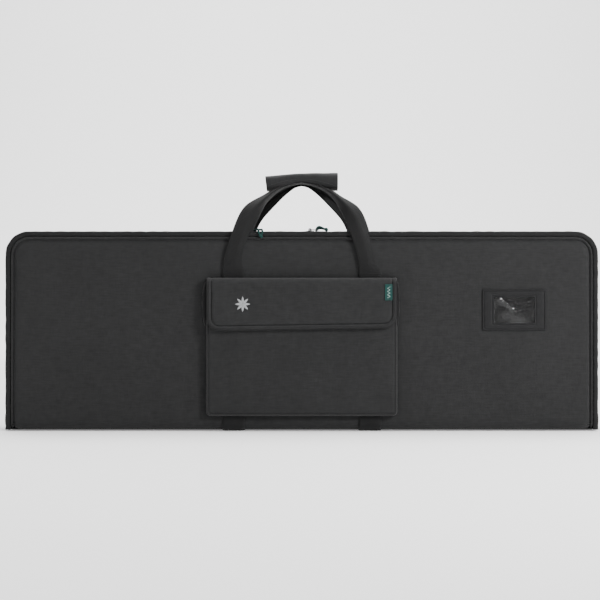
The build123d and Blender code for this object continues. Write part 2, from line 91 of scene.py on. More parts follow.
def grid(name, points, closed=False, capped=False):
    """Object from rows of points, with a UV map in metres; closed joins each row's end to its start."""
    points = np.asarray(points, float)
    rows, columns = points.shape[:2]
    index = np.arange(rows * columns).reshape(rows, columns)
    wrapped = np.concatenate([index, index[:, :1]], axis=1) if closed else index
    corners = (wrapped[:-1, :-1], wrapped[:-1, 1:], wrapped[1:, 1:], wrapped[1:, :-1])
    faces = np.stack(corners, axis=-1).reshape(-1, 4).tolist()
    middle = points[rows // 2]
    line = np.concatenate([middle, middle[:1]]) if closed else middle
    across = np.concatenate([[0], np.cumsum(np.linalg.norm(np.diff(line, axis=0), axis=1))])
    steps = np.linalg.norm(np.diff(points[:, columns // 2], axis=0), axis=1)
    along = np.concatenate([[0], np.cumsum(steps)])
    u = np.broadcast_to(across, (rows, len(across)))
    v = np.broadcast_to(along[:, None], u.shape)
    uv = np.stack([u, v], axis=-1)
    uv_corners = (uv[:-1, :-1], uv[:-1, 1:], uv[1:, 1:], uv[1:, :-1])
    loops = np.stack(uv_corners, axis=2).reshape(-1, 2)
    if capped:
        faces += [index[0, ::-1].tolist(), index[-1].tolist()]
        loops = np.concatenate([loops, uv[0, :columns][::-1], uv[-1, :columns]])
    mesh = bpy.data.meshes.new(name)
    mesh.from_pydata(points.reshape(-1, 3).tolist(), [], faces)
    layer = mesh.uv_layers.new(name="cloth")
    layer.data.foreach_set("uv", loops.astype(np.float32).ravel())
    mesh.shade_smooth()
    piece = bpy.data.objects.new(name, mesh)
    bpy.context.scene.collection.objects.link(piece)
    return piece


def scattered(name, one, faces, places):
    """One mesh of many copies of a small shape; places are (origin, x, y, z) frames."""
    one = np.asarray(one, float)
    points = [np.asarray(o) + one @ np.array([x, y, z]) for o, x, y, z in places]
    every = [[k + n * len(one) for k in face] for n in range(len(places)) for face in faces]
    mesh = bpy.data.meshes.new(name)
    mesh.from_pydata(np.concatenate(points).tolist(), [], every)
    mesh.shade_smooth()
    piece = bpy.data.objects.new(name, mesh)
    bpy.context.scene.collection.objects.link(piece)
    return piece


def subdivided(piece):
    modifier = piece.modifiers.new("Smooth", "SUBSURF")
    modifier.levels = modifier.render_levels = 1
    return piece


def thickened(piece, thickness, offset=-1.0):
    modifier = piece.modifiers.new("Thickness", "SOLIDIFY")
    modifier.thickness = thickness
    modifier.offset = offset
    return piece


def subdivided_sheet(name, x, y, z):
    """Smooth sheet through arrays of x, y and z."""
    return subdivided(grid(name, xyz(x, y, z)))


def turns(count):
    """Angles spaced evenly round a circle."""
    return [2 * pi * n / count for n in range(count)]


def squared(value, power):
    """A sine or cosine raised to a power with its sign kept, which squares a round section."""
    return copysign(abs(value) ** power, value)


def xyz(x, y, z):
    return np.stack(np.broadcast_arrays(x, y, z), axis=-1)


def unit(v):
    return v / np.maximum(np.linalg.norm(v, axis=-1, keepdims=True), 1e-12)


def ripple(u, v, size, seed):
    """Smooth repeatable unevenness about zero, with waves of roughly that size."""
    random = np.random.default_rng(seed)
    total = np.zeros(np.broadcast(u, v).shape)
    for _ in range(6):
        turn, phase = random.uniform(0, 2 * pi, 2)
        scale = 2 * pi / (size * random.uniform(0.7, 1.6))
        total += np.sin(scale * (u * cos(turn) + v * sin(turn)) + phase)
    return total / 3


def smooth_line(values, count):
    """Catmull-Rom curve through rows of values, sampled evenly by row number."""
    values = np.asarray(values, float)
    padded = np.concatenate([2 * values[:1] - values[1:2], values, 2 * values[-1:] - values[-2:-1]])
    t = np.linspace(0, len(values) - 1 - 1e-9, count)
    k = t.astype(int)
    f = (t - k)[:, None]
    a, b, c, d = padded[k], padded[k + 1], padded[k + 2], padded[k + 3]
    return 0.5 * (2 * b + (c - a) * f + (2 * a - 5 * b + 4 * c - d) * f**2 + (3 * b - a - 3 * c + d) * f**3)


def surface_of(piece, towards):
    """Function giving the Y of a piece's outer surface at (x, z); towards is +1 seen from the front."""
    bpy.context.view_layer.update()
    tree = BVHTree.FromObject(piece, bpy.context.evaluated_depsgraph_get())
    start = middle_y - towards * 0.5

    def y_at(x, z):
        hit = tree.ray_cast(Vector((x, start, z)), Vector((0, towards, 0)))[0]
        return hit.y if hit else (front_y if towards > 0 else back_y)

    return y_at


# ---- Materials ----

NOISE_MIDDLE = (0.3, 0.7)


class Cloth:
    """Small builder for a node material; values the same all over are set on the shader itself."""

    def __init__(self, name, roughness, sheen, specular):
        self.material = bpy.data.materials.new(name)
        self.material.use_nodes = True
        self.tree = self.material.node_tree
        self.shader = self.tree.nodes["Principled BSDF"]
        self.shader.inputs["Roughness"].default_value = roughness
        self.shader.inputs["Sheen Weight"].default_value = sheen
        self.shader.inputs["Sheen Roughness"].default_value = 0.5
        self.shader.inputs["Specular IOR Level"].default_value = specular

    def node(self, kind, **inputs):
        node = self.tree.nodes.new(kind)
        for name, value in inputs.items():
            self.put(node.inputs[name.replace("_", " ")], value)
        return node

    def put(self, socket, value):
        if isinstance(value, bpy.types.NodeSocket):
            self.tree.links.new(value, socket)
        else:
            socket.default_value = value

    def math(self, operation, a, b=0.0, c=0.0):
        node = self.tree.nodes.new("ShaderNodeMath")
        node.operation = operation
        for socket, value in zip(node.inputs, (a, b, c)):
            self.put(socket, value)
        return node.outputs[0]

    def cloth_map(self):
        """Across and along the cloth, in metres."""
        uv = self.tree.nodes.new("ShaderNodeUVMap")
        uv.uv_map = "cloth"
        parts = self.node("ShaderNodeSeparateXYZ", Vector=uv.outputs[0])
        return parts.outputs[0], parts.outputs[1]

    def object_map(self):
        return self.tree.nodes.new("ShaderNodeTexCoord").outputs["Object"]

    def noise(self, size, detail=3.0, where=None):
        """Noise from 0 to 1 with features of that size in metres."""
        node = self.node("ShaderNodeTexNoise", Scale=1 / size, Detail=detail)
        self.put(node.inputs["Vector"], where or self.object_map())
        return node.outputs[0]

    def streaks(self, u, v, stretch):
        """Noise drawn out across the cloth, or along it where stretch is under 1."""
        place = self.node("ShaderNodeCombineXYZ", X=self.math("DIVIDE", u, max(stretch, 1.0)))
        self.put(place.inputs["Y"], self.math("MULTIPLY", v, min(stretch, 1.0)))
        return self.noise(2.4 * MM, 2.0, place.outputs[0])

    def wave(self, along, pitch):
        return self.math("SINE", self.math("MULTIPLY", along, 2 * pi / pitch))

    def ramp(self, value, low, high, new_low, new_high):
        node = self.node("ShaderNodeMapRange", Value=value)
        for socket, number in zip(list(node.inputs)[1:5], (low, high, new_low, new_high)):
            socket.default_value = number
        return node.outputs[0]

    def shade(self, noise, low, high):
        """A factor that goes from low to high over the middle of a noise."""
        return self.ramp(noise, *NOISE_MIDDLE, low, high)

    def roughen(self, noise, low, high):
        """Roughness between two values."""
        self.put(self.shader.inputs["Roughness"], self.shade(noise, low, high))

    def colour(self, base, *shades):
        """The base colour times every shade, as the surface's colour."""
        total = shades[0]
        for shade in shades[1:]:
            total = self.math("MULTIPLY", total, shade)
        mix = self.tree.nodes.new("ShaderNodeVectorMath")
        mix.operation = "SCALE"
        mix.inputs[0].default_value = base
        self.put(mix.inputs["Scale"], total)
        self.put(self.shader.inputs["Base Color"], mix.outputs[0])

    def bump(self, height, distance, strength=1.0):
        node = self.node("ShaderNodeBump", Height=height, Distance=distance, Strength=strength)
        previous = self.shader.inputs["Normal"]
        if previous.is_linked:
            self.put(node.inputs["Normal"], previous.links[0].from_socket)
        self.put(self.shader.inputs["Normal"], node.outputs[0])


def wear_and_crease_shade(cloth, amount=0.35):
    """Lighter where the surface is a ridge, partly rubbed wear and partly a painted highlight; darker in a
    crease, a painted shade.
    """
    geometry = cloth.tree.nodes.new("ShaderNodeNewGeometry")
    return cloth.ramp(geometry.outputs["Pointiness"], 0.42, 0.6, 1 - amount, 1 + amount)


def woven(name, base, pitch=1.3 * MM, roughness=0.82, sheen=0.08):
    """Plain weave: threads that go over and under each other both ways."""
    cloth = Cloth(name, roughness, sheen, 0.2)
    u, v = cloth.cloth_map()
    threads = cloth.math("MULTIPLY", cloth.wave(u, pitch), cloth.wave(v, pitch))
    fibres = cloth.noise(0.25 * MM, 2.0)
    slub = cloth.noise(9 * MM, 3.0)
    cloud = cloth.noise(90 * MM, 3.0)
    across, along = cloth.streaks(u, v, 8.0), cloth.streaks(u, v, 0.15)
    height = cloth.math("MULTIPLY_ADD", fibres, 0.5, threads)
    cloth.colour(
        base,
        cloth.ramp(threads, -1, 1, 0.8, 1.12),
        cloth.shade(fibres, 0.86, 1.14),
        cloth.shade(slub, 0.965, 1.035),
        cloth.shade(across, 0.86, 1.14),
        cloth.shade(along, 0.92, 1.08),
        cloth.shade(cloud, 0.93, 1.07),
        wear_and_crease_shade(cloth),
    )
    cloth.roughen(slub, roughness - 0.08, roughness + 0.08)
    cloth.bump(slub, 0.5 * MM, 0.6)
    cloth.bump(height, 0.09 * MM, 0.8)
    return cloth.material


def ribbed(name, base, pitch=1.1 * MM, roughness=0.8, lengthwise=False, cross=0.4):
    """Grosgrain or webbing: ribs one way and finer threads the other way."""
    cloth = Cloth(name, roughness, 0.05, 0.2)
    u, v = cloth.cloth_map()
    rib, thread = (cloth.wave(u, pitch), cloth.wave(v, pitch * 0.62)) if lengthwise else (
        cloth.wave(v, pitch), cloth.wave(u, pitch * 0.62))
    fibres = cloth.noise(0.3 * MM, 2.0)
    height = cloth.math("MULTIPLY_ADD", thread, cross, rib)
    cloth.colour(
        base,
        cloth.ramp(height, -1.3, 1.3, 0.72, 1.18),
        cloth.shade(fibres, 0.86, 1.14),
        cloth.shade(cloth.noise(25 * MM), 0.88, 1.12),
        wear_and_crease_shade(cloth),
    )
    cloth.roughen(fibres, roughness - 0.07, roughness + 0.07)
    cloth.bump(height, 0.16 * MM, 0.9)
    return cloth.material


def fuzzy(name, base):
    """Hook and loop tape: a dense fuzz."""
    cloth = Cloth(name, 0.95, 0.15, 0.1)
    fuzz = cloth.noise(0.7 * MM, 4.0)
    cloth.colour(base, cloth.shade(fuzz, 0.5, 1.5), cloth.shade(cloth.noise(8 * MM), 0.85, 1.15))
    cloth.bump(fuzz, 0.5 * MM)
    return cloth.material


def thread(name, base, roughness=0.6):
    """Sewing or embroidery thread, with the twist of its plies."""
    cloth = Cloth(name, roughness, 0.02, 0.12)
    twist = cloth.noise(0.35 * MM, 2.0)
    cloth.colour(base, cloth.shade(twist, 0.75, 1.2))
    cloth.bump(twist, 0.08 * MM)
    return cloth.material


def moulded(name, base, roughness, metallic=0.0):
    """Nylon or enamelled metal, a little worn on its edges, which also carry a painted highlight, with
    painted shade in its creases.
    """
    cloth = Cloth(name, roughness, 0.0, 0.5)
    cloth.shader.inputs["Metallic"].default_value = metallic
    grain = cloth.noise(0.6 * MM, 3.0)
    scuffs = cloth.noise(2.5 * MM, 5.0)
    cloth.colour(
        base, cloth.shade(grain, 0.85, 1.15), cloth.ramp(scuffs, 0.35, 0.75, 0.8, 1.5), wear_and_crease_shade(cloth, 0.6)
    )
    cloth.roughen(scuffs, roughness - 0.12, roughness + 0.15)
    cloth.bump(grain, 0.03 * MM)
    return cloth.material


def grained(name, base):
    """Vinyl with a fine leathery grain."""
    cloth = Cloth(name, 0.6, 0.0, 0.12)
    cells = cloth.node("ShaderNodeTexVoronoi", Scale=1 / (1.1 * MM))
    cloth.put(cells.inputs["Vector"], cloth.object_map())
    grain = cloth.ramp(cells.outputs[0], 0, 0.8, 0.8, 1.15)
    cloth.colour(base, grain, cloth.shade(cloth.noise(12 * MM), 0.9, 1.1), wear_and_crease_shade(cloth))
    cloth.roughen(cloth.noise(5 * MM), 0.52, 0.7)
    cloth.bump(cells.outputs[0], 0.12 * MM)
    return cloth.material


def clear_film(name):
    """Clear vinyl with faint scuffs."""
    cloth = Cloth(name, 0.1, 0.0, 0.5)
    cloth.shader.inputs["Transmission Weight"].default_value = 1.0
    cloth.shader.inputs["IOR"].default_value = 1.3
    cloth.shader.inputs["Base Color"].default_value = (0.9, 0.9, 0.9, 1)
    scuffs = cloth.noise(6 * MM, 5.0)
    cloth.put(cloth.shader.inputs["Roughness"], cloth.ramp(scuffs, 0.35, 0.7, 0.08, 0.16))
    cloth.bump(scuffs, 0.15 * MM)
    return cloth.material


outer_cloth = woven("outer_cloth", (0.0132, 0.0133, 0.0136))
base_cloth = woven("base_cloth", (0.0145, 0.0146, 0.015))
lining_cloth = woven("lining_cloth", (0.060, 0.061, 0.064), pitch=0.8 * MM, roughness=0.62, sheen=0.15)
grip_cloth = woven("grip_cloth", (0.0130, 0.0131, 0.0135))
binding_cloth = ribbed("binding_cloth", (0.008, 0.008, 0.0083))
webbing_cloth = ribbed("webbing_cloth", (0.0060, 0.0060, 0.0062), pitch=2.0 * MM, cross=0.55)
zip_cloth = ribbed("zip_cloth", (0.010, 0.010, 0.0105), pitch=0.9 * MM, lengthwise=True)
coil_nylon = moulded("coil_nylon", (0.012, 0.012, 0.0125), 0.38)
enamel = moulded("enamel", (0.05, 0.05, 0.053), 0.35, 0.6)
black_thread = thread("black_thread", (0.0045, 0.0045, 0.0047))
grey_thread = thread("grey_thread", (0.032, 0.032, 0.033))
silver_thread = thread("silver_thread", (0.27, 0.275, 0.28), 0.45)
label_thread = thread("label_thread", (0.42, 0.52, 0.49), 0.5)
teal_braid = ribbed("teal_braid", (0.005, 0.040, 0.034), pitch=1.2 * MM)
teal_satin = ribbed("teal_satin", (0.005, 0.046, 0.040), pitch=0.5 * MM, roughness=0.5, lengthwise=True)
hook_loop = fuzzy("hook_loop", (0.012, 0.012, 0.0125))
holder_vinyl = grained("holder_vinyl", (0.0105, 0.0105, 0.011))
window_vinyl = clear_film("window_vinyl")


def dressed(piece, material, body=None, stands_for=()):
    """Give a piece its material and its body, and hide the nodes it stands for."""
    piece.data.materials.append(material)
    if body:
        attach(piece, body)
    if stands_for:
        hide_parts(*([stands_for] if isinstance(stands_for, str) else stands_for))
    return piece


def over_joint(piece):
    """Bake a piece's placement into its mesh; nothing blends it over the joint."""
    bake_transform(piece)


def over_fold(piece):
    """Bake a piece's placement into its mesh, as over_joint does; nothing blends it over the fold."""
    over_joint(piece)


# ---- Cloth simulation ----

SIM_FRAMES = 20


def inflate(piece, held, pressure, cap):
    """Blow a piece up a little with the points of held fixed; no point moves further than cap."""
    rest = np.array([v.co for v in piece.data.vertices], float)
    pins = piece.vertex_groups.new(name="sewn")
    pins.add([int(n) for n in np.flatnonzero(held)], 1.0, "REPLACE")
    cloth = piece.modifiers.new("Cloth", "CLOTH")
    cloth.settings.quality = 4
    cloth.settings.mass = 0.3
    cloth.settings.tension_stiffness = 20
    cloth.settings.compression_stiffness = 20
    cloth.settings.shear_stiffness = 10
    cloth.settings.bending_stiffness = 2
    cloth.settings.vertex_group_mass = "sewn"
    cloth.settings.use_pressure = True
    cloth.settings.uniform_pressure_force = pressure
    cloth.settings.effector_weights.gravity = 0
    cloth.point_cache.frame_start = 1
    cloth.point_cache.frame_end = SIM_FRAMES
    scene = bpy.context.scene
    for n in range(1, SIM_FRAMES + 1):
        scene.frame_set(n)
    moved = piece.evaluated_get(bpy.context.evaluated_depsgraph_get()).to_mesh()
    shift = np.array([v.co for v in moved.vertices], float) - rest
    piece.modifiers.remove(cloth)
    piece.vertex_groups.remove(pins)
    size = np.linalg.norm(shift, axis=1, keepdims=True)
    shift *= cap * np.tanh(size / cap) / np.maximum(size, 1e-9)
    piece.data.vertices.foreach_set("co", (rest + shift).astype(np.float32).ravel())
    piece.data.update()
    scene.frame_set(1)


# ---- The case's outline ----


def outline(foot, step, inset=0.0):
    """Points (x, z) up the left side, over the top and down the right, with outward directions."""
    radius = corner_radius - inset
    side = top_z - corner_radius - foot
    arc = radius * pi / 2
    flat = half_width - corner_radius
    half = side + arc + flat
    count = 2 * ceil(half / step)
    points, normals = [], []
    for n in range(count + 1):
        s = 2 * half * n / count
        sign = -1 if s < half else 1
        s = min(s, 2 * half - s)
        turn = min(max((s - side) / radius, 0), pi / 2)
        x = flat + radius * cos(turn) - max(s - side - arc, 0)
        z = top_z - corner_radius + radius * sin(turn) - max(side - s, 0)
        points.append((sign * x, z))
        normals.append((sign * cos(turn), sin(turn)))
    return np.array(points), np.array(normals)


def swept(name, profile, foot, step, shift=None, closed=True):
    """A profile of (inset, y) points carried along the case's outline; shift(s, k) adds to the inset."""
    points, normals = outline(foot, step)
    along = np.concatenate([[0], np.cumsum(np.linalg.norm(np.diff(points, axis=0), axis=1))])
    rows = []
    for k, (inset, y) in enumerate(profile):
        depth = inset + (shift(along, k) if shift else 0)
        at = points - normals * np.reshape(depth, (-1, 1))
        rows.append(xyz(at[:, 0], y, at[:, 1]))
    return grid(name, np.stack(rows, axis=1), closed=closed, capped=closed)


def rim_height(rim, distance):
    """Height at a distance from the edge, from a table of both in mm."""
    return np.interp(distance, *(np.array(rim).T * MM))


def rounded_grid(half, length, radius, offsets, step):
    """Sheet with two round corners: x, distance from the edge between them, distance from any edge.

    The grid is finer at the offsets from the edge; the edge opposite the round corners isn't counted.
    """
    count = max(1, round((length - offsets[-1]) / step))
    t = np.concatenate([offsets, np.linspace(offsets[-1], length, count + 1)[1:]])
    bow = np.sqrt(np.maximum(radius**2 - np.maximum(radius - t, 0) ** 2, 0))
    row_half = half - radius + bow
    count = round(2 * (half - offsets[-1]) / step)
    inner = np.linspace(-1, 1, count + 1)[1:-1]
    rim = row_half[:, None] - offsets[None, :]
    middle = inner[None, :] * rim[:, -1:]
    x = np.concatenate([-rim, middle, rim[:, ::-1]], axis=1)
    t = np.broadcast_to(t[:, None], x.shape)
    past_x, past_t = np.abs(x) - (half - radius), radius - t
    round_part = radius - np.hypot(np.maximum(past_x, 0), np.maximum(past_t, 0))
    straight = np.minimum(half - np.abs(x), t)
    return x, t, np.where((past_x > 0) & (past_t > 0), round_part, straight)


# ---- Padded panels: one at the front and one at the back ----

PANEL_OFFSETS = np.array([0, 0.8, 1.6, 2.6, 3.6, 4.4, 5.2, 6.2, 7.4, 9, 12, 16, 22, 28]) * MM
# How deep the panel's face lies at a distance from its edge: a turned lip, a sewn groove, the padding
PANEL_RIM = (
    (0, 7.5), (0.8, 6.4), (1.6, 3.3), (2.6, 2.5), (3.6, 2.9), (4.4, 5.0), (5.2, 6.6), (6.2, 5.9), (7.4, 3.6),
    (9, 2.1), (13, 0.7), (20, 0.0), (60, -1.1), (150, -1.6),
)
ROLL_RADIUS = 10 * MM
TUCK = 22 * MM


def panel(name, side, seed):
    """The padded cloth of one face, from its bound edge down and under the base; side is -1 in front."""
    half = half_width - binding_inset
    high = top_z - binding_inset
    face_y = front_y if side < 0 else back_y
    face_length = high - base_z - ROLL_RADIUS
    length = face_length + ROLL_RADIUS * pi / 2 + TUCK
    x, t, distance = rounded_grid(half, length, corner_radius - binding_inset, PANEL_OFFSETS, 7 * MM)
    turn = np.clip((t - face_length) / ROLL_RADIUS, 0, pi / 2)
    out_y, out_z = side * np.cos(turn), -np.sin(turn)
    tucked = np.maximum(t - face_length - ROLL_RADIUS * pi / 2, 0)
    y = face_y - side * (ROLL_RADIUS * (1 - np.cos(turn)) + tucked)
    z = high - np.minimum(t, face_length) - ROLL_RADIUS * np.sin(turn)
    depth = rim_height(PANEL_RIM, distance)
    calm = np.clip((distance - 6 * MM) / (30 * MM), 0, 1) * np.cos(turn)
    uneven = ripple(x, t, 130 * MM, seed) * 0.9 * MM + ripple(x, t, 38 * MM, seed + 1) * 0.32 * MM
    pulled = np.exp(-(((distance - 13 * MM) / (8 * MM)) ** 2)) * np.cos(turn)
    pulled = pulled * ripple(x, t, 15 * MM, seed + 2)
    proud = -depth + calm * uneven + pulled * 0.45 * MM
    proud = np.where(turn > 0, np.minimum(proud, 0.2 * MM), proud)
    piece = grid(name, xyz(x, y + out_y * proud, z + out_z * proud)[:, ::-side])
    held = (distance.reshape(-1) < 6 * MM) | (turn.reshape(-1) > 0)
    if side > 0:
        held = held.reshape(x.shape)[:, ::-1].reshape(-1)
    inflate(piece, held, 0.6, 1.2 * MM)
    subdivided(piece)
    return piece


front_panel = panel("front_panel", -1, 3)
dressed(front_panel, outer_cloth, None, ("front_panel_fabric", "front_panel_foam"))
over_fold(front_panel)
back_panel = panel("back_panel", 1, 11)
dressed(back_panel, outer_cloth, "back_shell", ("back_panel_fabric", "back_panel_foam"))
front_face = surface_of(front_panel, 1)
back_face = surface_of(back_panel, -1)

# ---- Sides and base ----

SIDE_CROWN = 2.0 * MM


def side_shift(along, k):
    uneven = ripple(along, k * 9 * MM, 70 * MM, 21) * 0.35 * MM
    return uneven * sin(pi * min(k, side_steps) / side_steps)


side_steps = 12
side_depths = np.linspace(31 * MM, case_depth - 9 * MM, side_steps + 1)
side_profile = [
    (tape_inset - SIDE_CROWN * sin(pi * n / side_steps) ** 0.6, at_depth(d))
    for n, d in enumerate(side_depths)
]
side_gusset = swept("side_gusset", side_profile, base_z + 1 * MM, 8 * MM, side_shift, closed=False)
subdivided(thickened(side_gusset, 2 * MM, 1.0))
dressed(side_gusset, outer_cloth, "back_shell", ("side_fabric", "side_foam"))

side_x = half_width - tape_inset


def foot_wall(name, sign):
    """The side's cloth below the zip's end, in front of the gusset."""
    depths = np.linspace(5 * MM, 33 * MM, 8)
    heights = np.linspace(base_z + 1 * MM, fold_z + 3 * MM, 6)
    x = sign * (side_x - 0.3 * MM)
    rows = [[(x, at_depth(d), z) for d in depths] for z in heights]
    return thickened(grid(name, rows), 1.2 * MM, float(sign))


for hand, sign in (("left", -1), ("right", 1)):
    dressed(foot_wall(f"side_foot_{hand}", sign), outer_cloth, "back_shell")


def base_sheet():
    """The cloth under the case, turned up a little at both ends."""
    right_end = np.linspace(side_x - 8 * MM, side_x, 5)
    x = np.concatenate([-right_end[::-1], np.linspace(-side_x + 14 * MM, side_x - 14 * MM, 100), right_end])
    y = np.linspace(at_depth(8 * MM), at_depth(case_depth - 8 * MM), 14)
    gx, gy = np.meshgrid(x, y)
    rise = np.clip((np.abs(gx) - side_x + 6 * MM) / (6 * MM), 0, 1) ** 2 * 4 * MM
    z = base_z + 0.5 * MM + rise + ripple(gx, gy, 60 * MM, 5) * 0.15 * MM
    return thickened(subdivided_sheet("base_sheet", gx, gy, z), 1.5 * MM, 1.0)


base = dressed(base_sheet(), base_cloth, "back_shell", ("base_fabric", "base_foam"))

# ---- Lining: padded cloth inside the cover, the back, the sides and the floor ----


def lining_face(name, y, towards, foot, seed):
    """Lining of a panel's inside; towards is the way it faces."""
    half = half_width - lining_inset - 0.5 * MM
    high = top_z - lining_inset - 0.5 * MM
    offsets = np.array([0, 1, 2.5, 4.5, 8, 14]) * MM
    radius = corner_radius - lining_inset
    x, t, distance = rounded_grid(half, high - foot, radius, offsets, 12 * MM)
    swell = 1.1 * MM * (1 - np.exp(-distance / (10 * MM)))
    swell += ripple(x, t, 55 * MM, seed) * 0.35 * MM * np.clip(distance / (20 * MM), 0, 1)
    swell -= 1.0 * MM * np.exp(-((distance - 4.5 * MM) / (1.3 * MM)) ** 2)
    points = xyz(x, y + towards * swell, high - t)
    piece = subdivided(grid(name, points[:, ::-1] if towards > 0 else points))
    return piece


front_low, front_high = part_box("front_panel_lining")
front_lining = lining_face("front_lining", front_high.y - 0.6 * MM, 1, front_low.z, 31)
dressed(front_lining, lining_cloth, "front_cover", "front_panel_lining")
back_lining_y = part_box("back_panel_lining")[0].y + 0.6 * MM
back_lining = lining_face("back_lining", back_lining_y, -1, floor_inside_z - 2 * MM, 32)
dressed(back_lining, lining_cloth, "back_shell", "back_panel_lining")

mouth = [
    (tape_inset + 1.4 * MM, at_depth(32 * MM)),
    (tape_inset + 2.6 * MM, at_depth(31.4 * MM)),
    (lining_inset - 2 * MM, at_depth(31.8 * MM)),
    (lining_inset, at_depth(33.5 * MM)),
]
for n in range(9):
    depth = 36 * MM + (case_depth - 46 * MM) * n / 8
    mouth.append((lining_inset + 0.5 * MM * sin(pi * n / 8), at_depth(depth)))


def lining_shift(along, k):
    """Unevenness behind the turned edge at the mouth, which is the profile's first four points."""
    return ripple(along, k * 8 * MM, 50 * MM, 33) * 0.3 * MM * (k > 3)


side_lining = swept("side_lining_cloth", mouth, floor_inside_z - 4 * MM, 12 * MM, lining_shift, closed=False)
dressed(subdivided(side_lining), lining_cloth, "back_shell", "side_lining")


def floor_lining():
    x = np.linspace(-half_width + lining_inset, half_width - lining_inset, 90)
    y = np.linspace(at_depth(1.6 * MM), at_depth(case_depth - 9 * MM), 14)
    gx, gy = np.meshgrid(x, y)
    z = floor_inside_z + ripple(gx, gy, 60 * MM, 34) * 0.4 * MM
    return subdivided_sheet("floor_lining", gx, gy, z)


dressed(floor_lining(), lining_cloth, "back_shell", "base_lining")

# ---- Bound edges: ribbed tape folded over both seams ----


def binding(name, near, seed):
    """Tape with real ribs round a panel's edge; near is the Y of its face, and it runs to the base."""
    direction = 1 if near < middle_y else -1
    loop = []
    for turn in turns(16):
        c, s = cos(turn), sin(turn)
        inset = 4.3 * MM + 4.5 * MM * squared(c, 0.7)
        depth = 3.5 * MM + 3.6 * MM * squared(s, 0.75)
        loop.append((inset, near + direction * depth))
    rib = 1.15 * MM

    def shift(along, k):
        outward = copysign(1, loop[k][0] - 4.3 * MM)
        ribs = np.cos(2 * pi * along / rib) * 0.13 * MM
        pucker = ripple(along, 0 * along, 26 * MM, seed) * 0.3 * MM
        return outward * ribs + pucker

    return swept(name, loop, base_z, rib / 4, shift)


front_edge = binding("front_edge_tape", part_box("front_binding")[0].y, 41)
dressed(front_edge, binding_cloth, None, ("front_binding", "front_binding_ends"))
over_fold(front_edge)
back_edge = binding("back_edge_tape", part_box("back_binding")[1].y, 42)
dressed(back_edge, binding_cloth, "back_shell", "back_binding")

# ---- Zip ----

zip_y = at_depth(22 * MM)
zip_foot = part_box("front_zip_tape")[0].z


def zip_tape(name, near, back):
    """Tape bowed a little outward between its two depths."""
    insets = [tape_inset + 0.5 * MM * (1 - sin(pi * n / 6)) for n in range(7)]
    profile = [(inset, near + (back - near) * n / 6) for n, inset in enumerate(insets)]
    return thickened(swept(name, profile, zip_foot, 10 * MM, closed=False), 0.9 * MM, 1.0)


cover_tape = zip_tape("zip_tape_on_cover", at_depth(9 * MM), zip_y - 0.3 * MM)
dressed(cover_tape, zip_cloth, "front_cover", "front_zip_tape")
shell_tape = zip_tape("zip_tape_on_shell", zip_y + 0.3 * MM, at_depth(34 * MM))
dressed(shell_tape, zip_cloth, "back_shell", "back_zip_tape")

TOOTH_RING = 8
TOOTH_STATIONS = ((-3.0, 0.2), (-2.7, 0.42), (-1.4, 0.5), (-0.2, 0.62), (0.5, 0.55), (0.8, 0.2))


def tooth():
    """One turn of the coil seen from above: a rounded bar with a wider head past the middle."""
    points = []
    for across, size in TOOTH_STATIONS:
        for turn in turns(TOOTH_RING):
            points.append((size * 0.9 * cos(turn) * MM, across * MM, size * 1.5 * sin(turn) * MM))
    faces = []
    for r in range(len(TOOTH_STATIONS) - 1):
        for n in range(TOOTH_RING):
            a, b = r * TOOTH_RING + n, r * TOOTH_RING + (n + 1) % TOOTH_RING
            faces.append([a, b, b + TOOTH_RING, a + TOOTH_RING])
    last = (len(TOOTH_STATIONS) - 1) * TOOTH_RING
    faces += [list(range(TOOTH_RING))[::-1], [last + n for n in range(TOOTH_RING)]]
    return points, faces


def coil(name, direction, offset):
    """Teeth along one tape, reaching across the middle; direction is +1 from the cover's side."""
    pitch = 1.9 * MM
    points, normals = outline(zip_foot + 1 * MM + offset, pitch, inset=tape_inset - 0.9 * MM)
    shape, faces = tooth()
    places = []
    for (x, z), (nx, nz) in zip(points, normals):
        along = (nz, 0, -nx)
        places.append(((x, zip_y - direction * 0.1 * MM, z), along, (0, direction, 0), (nx, 0, nz)))
    return scattered(name, shape, faces, places)


dressed(coil("zip_teeth_on_cover", 1, 0.0), coil_nylon, "front_cover", "front_zip_coil")
dressed(coil("zip_teeth_on_shell", -1, 0.95 * MM), coil_nylon, "back_shell", "back_zip_coil")

# ---- Stitches ----

# One stitch, in mm: a three-sided bar with pointed ends, that lies along x with z out of the cloth
STITCH = [
    (-1.25, 0, 0), (-0.8, 0.3, 0.1), (-0.8, -0.3, 0.1), (-0.8, 0, 0.3),
    (0.8, 0.3, 0.1), (0.8, -0.3, 0.1), (0.8, 0, 0.3), (1.25, 0, 0),
]
STITCH_FACES = [
    (0, 1, 3), (0, 3, 2), (0, 2, 1),
    (1, 4, 6, 3), (3, 6, 5, 2), (2, 5, 4, 1),
    (7, 6, 4), (7, 5, 6), (7, 4, 5),
]


def resampled(path, pitch):
    path = np.asarray(path, float)
    along = np.concatenate([[0], np.cumsum(np.linalg.norm(np.diff(path, axis=0), axis=1))])
    count = max(2, round(along[-1] / pitch))
    at = np.linspace(0, along[-1], count + 1)
    return np.stack([np.interp(at, along, path[:, k]) for k in range(3)], axis=1)


def stitches(name, paths, body, side=-1, material=black_thread, pitch=3.4 * MM, size=1.0):
    """Rows of stitches along lines on a surface that faces the front, or the back where side is 1."""
    places = []
    out = np.array([0.0, side, 0.0])
    for path in paths:
        line = resampled(path, pitch)
        middles = (line[1:] + line[:-1]) / 2
        for middle, along in zip(middles, unit(np.diff(line, axis=0))):
            across = unit(np.cross(out, along))
            places.append((middle, along * size, across * size, np.cross(along, across) * size))
    piece = scattered(name, np.array(STITCH) * MM, STITCH_FACES, places)
    return dressed(piece, material, body)


def on_face(points, face, lift):
    """Points (x, z) laid on a face, moved off it a little along Y."""
    return [(x, face(x, z) + lift, z) for x, z in points]


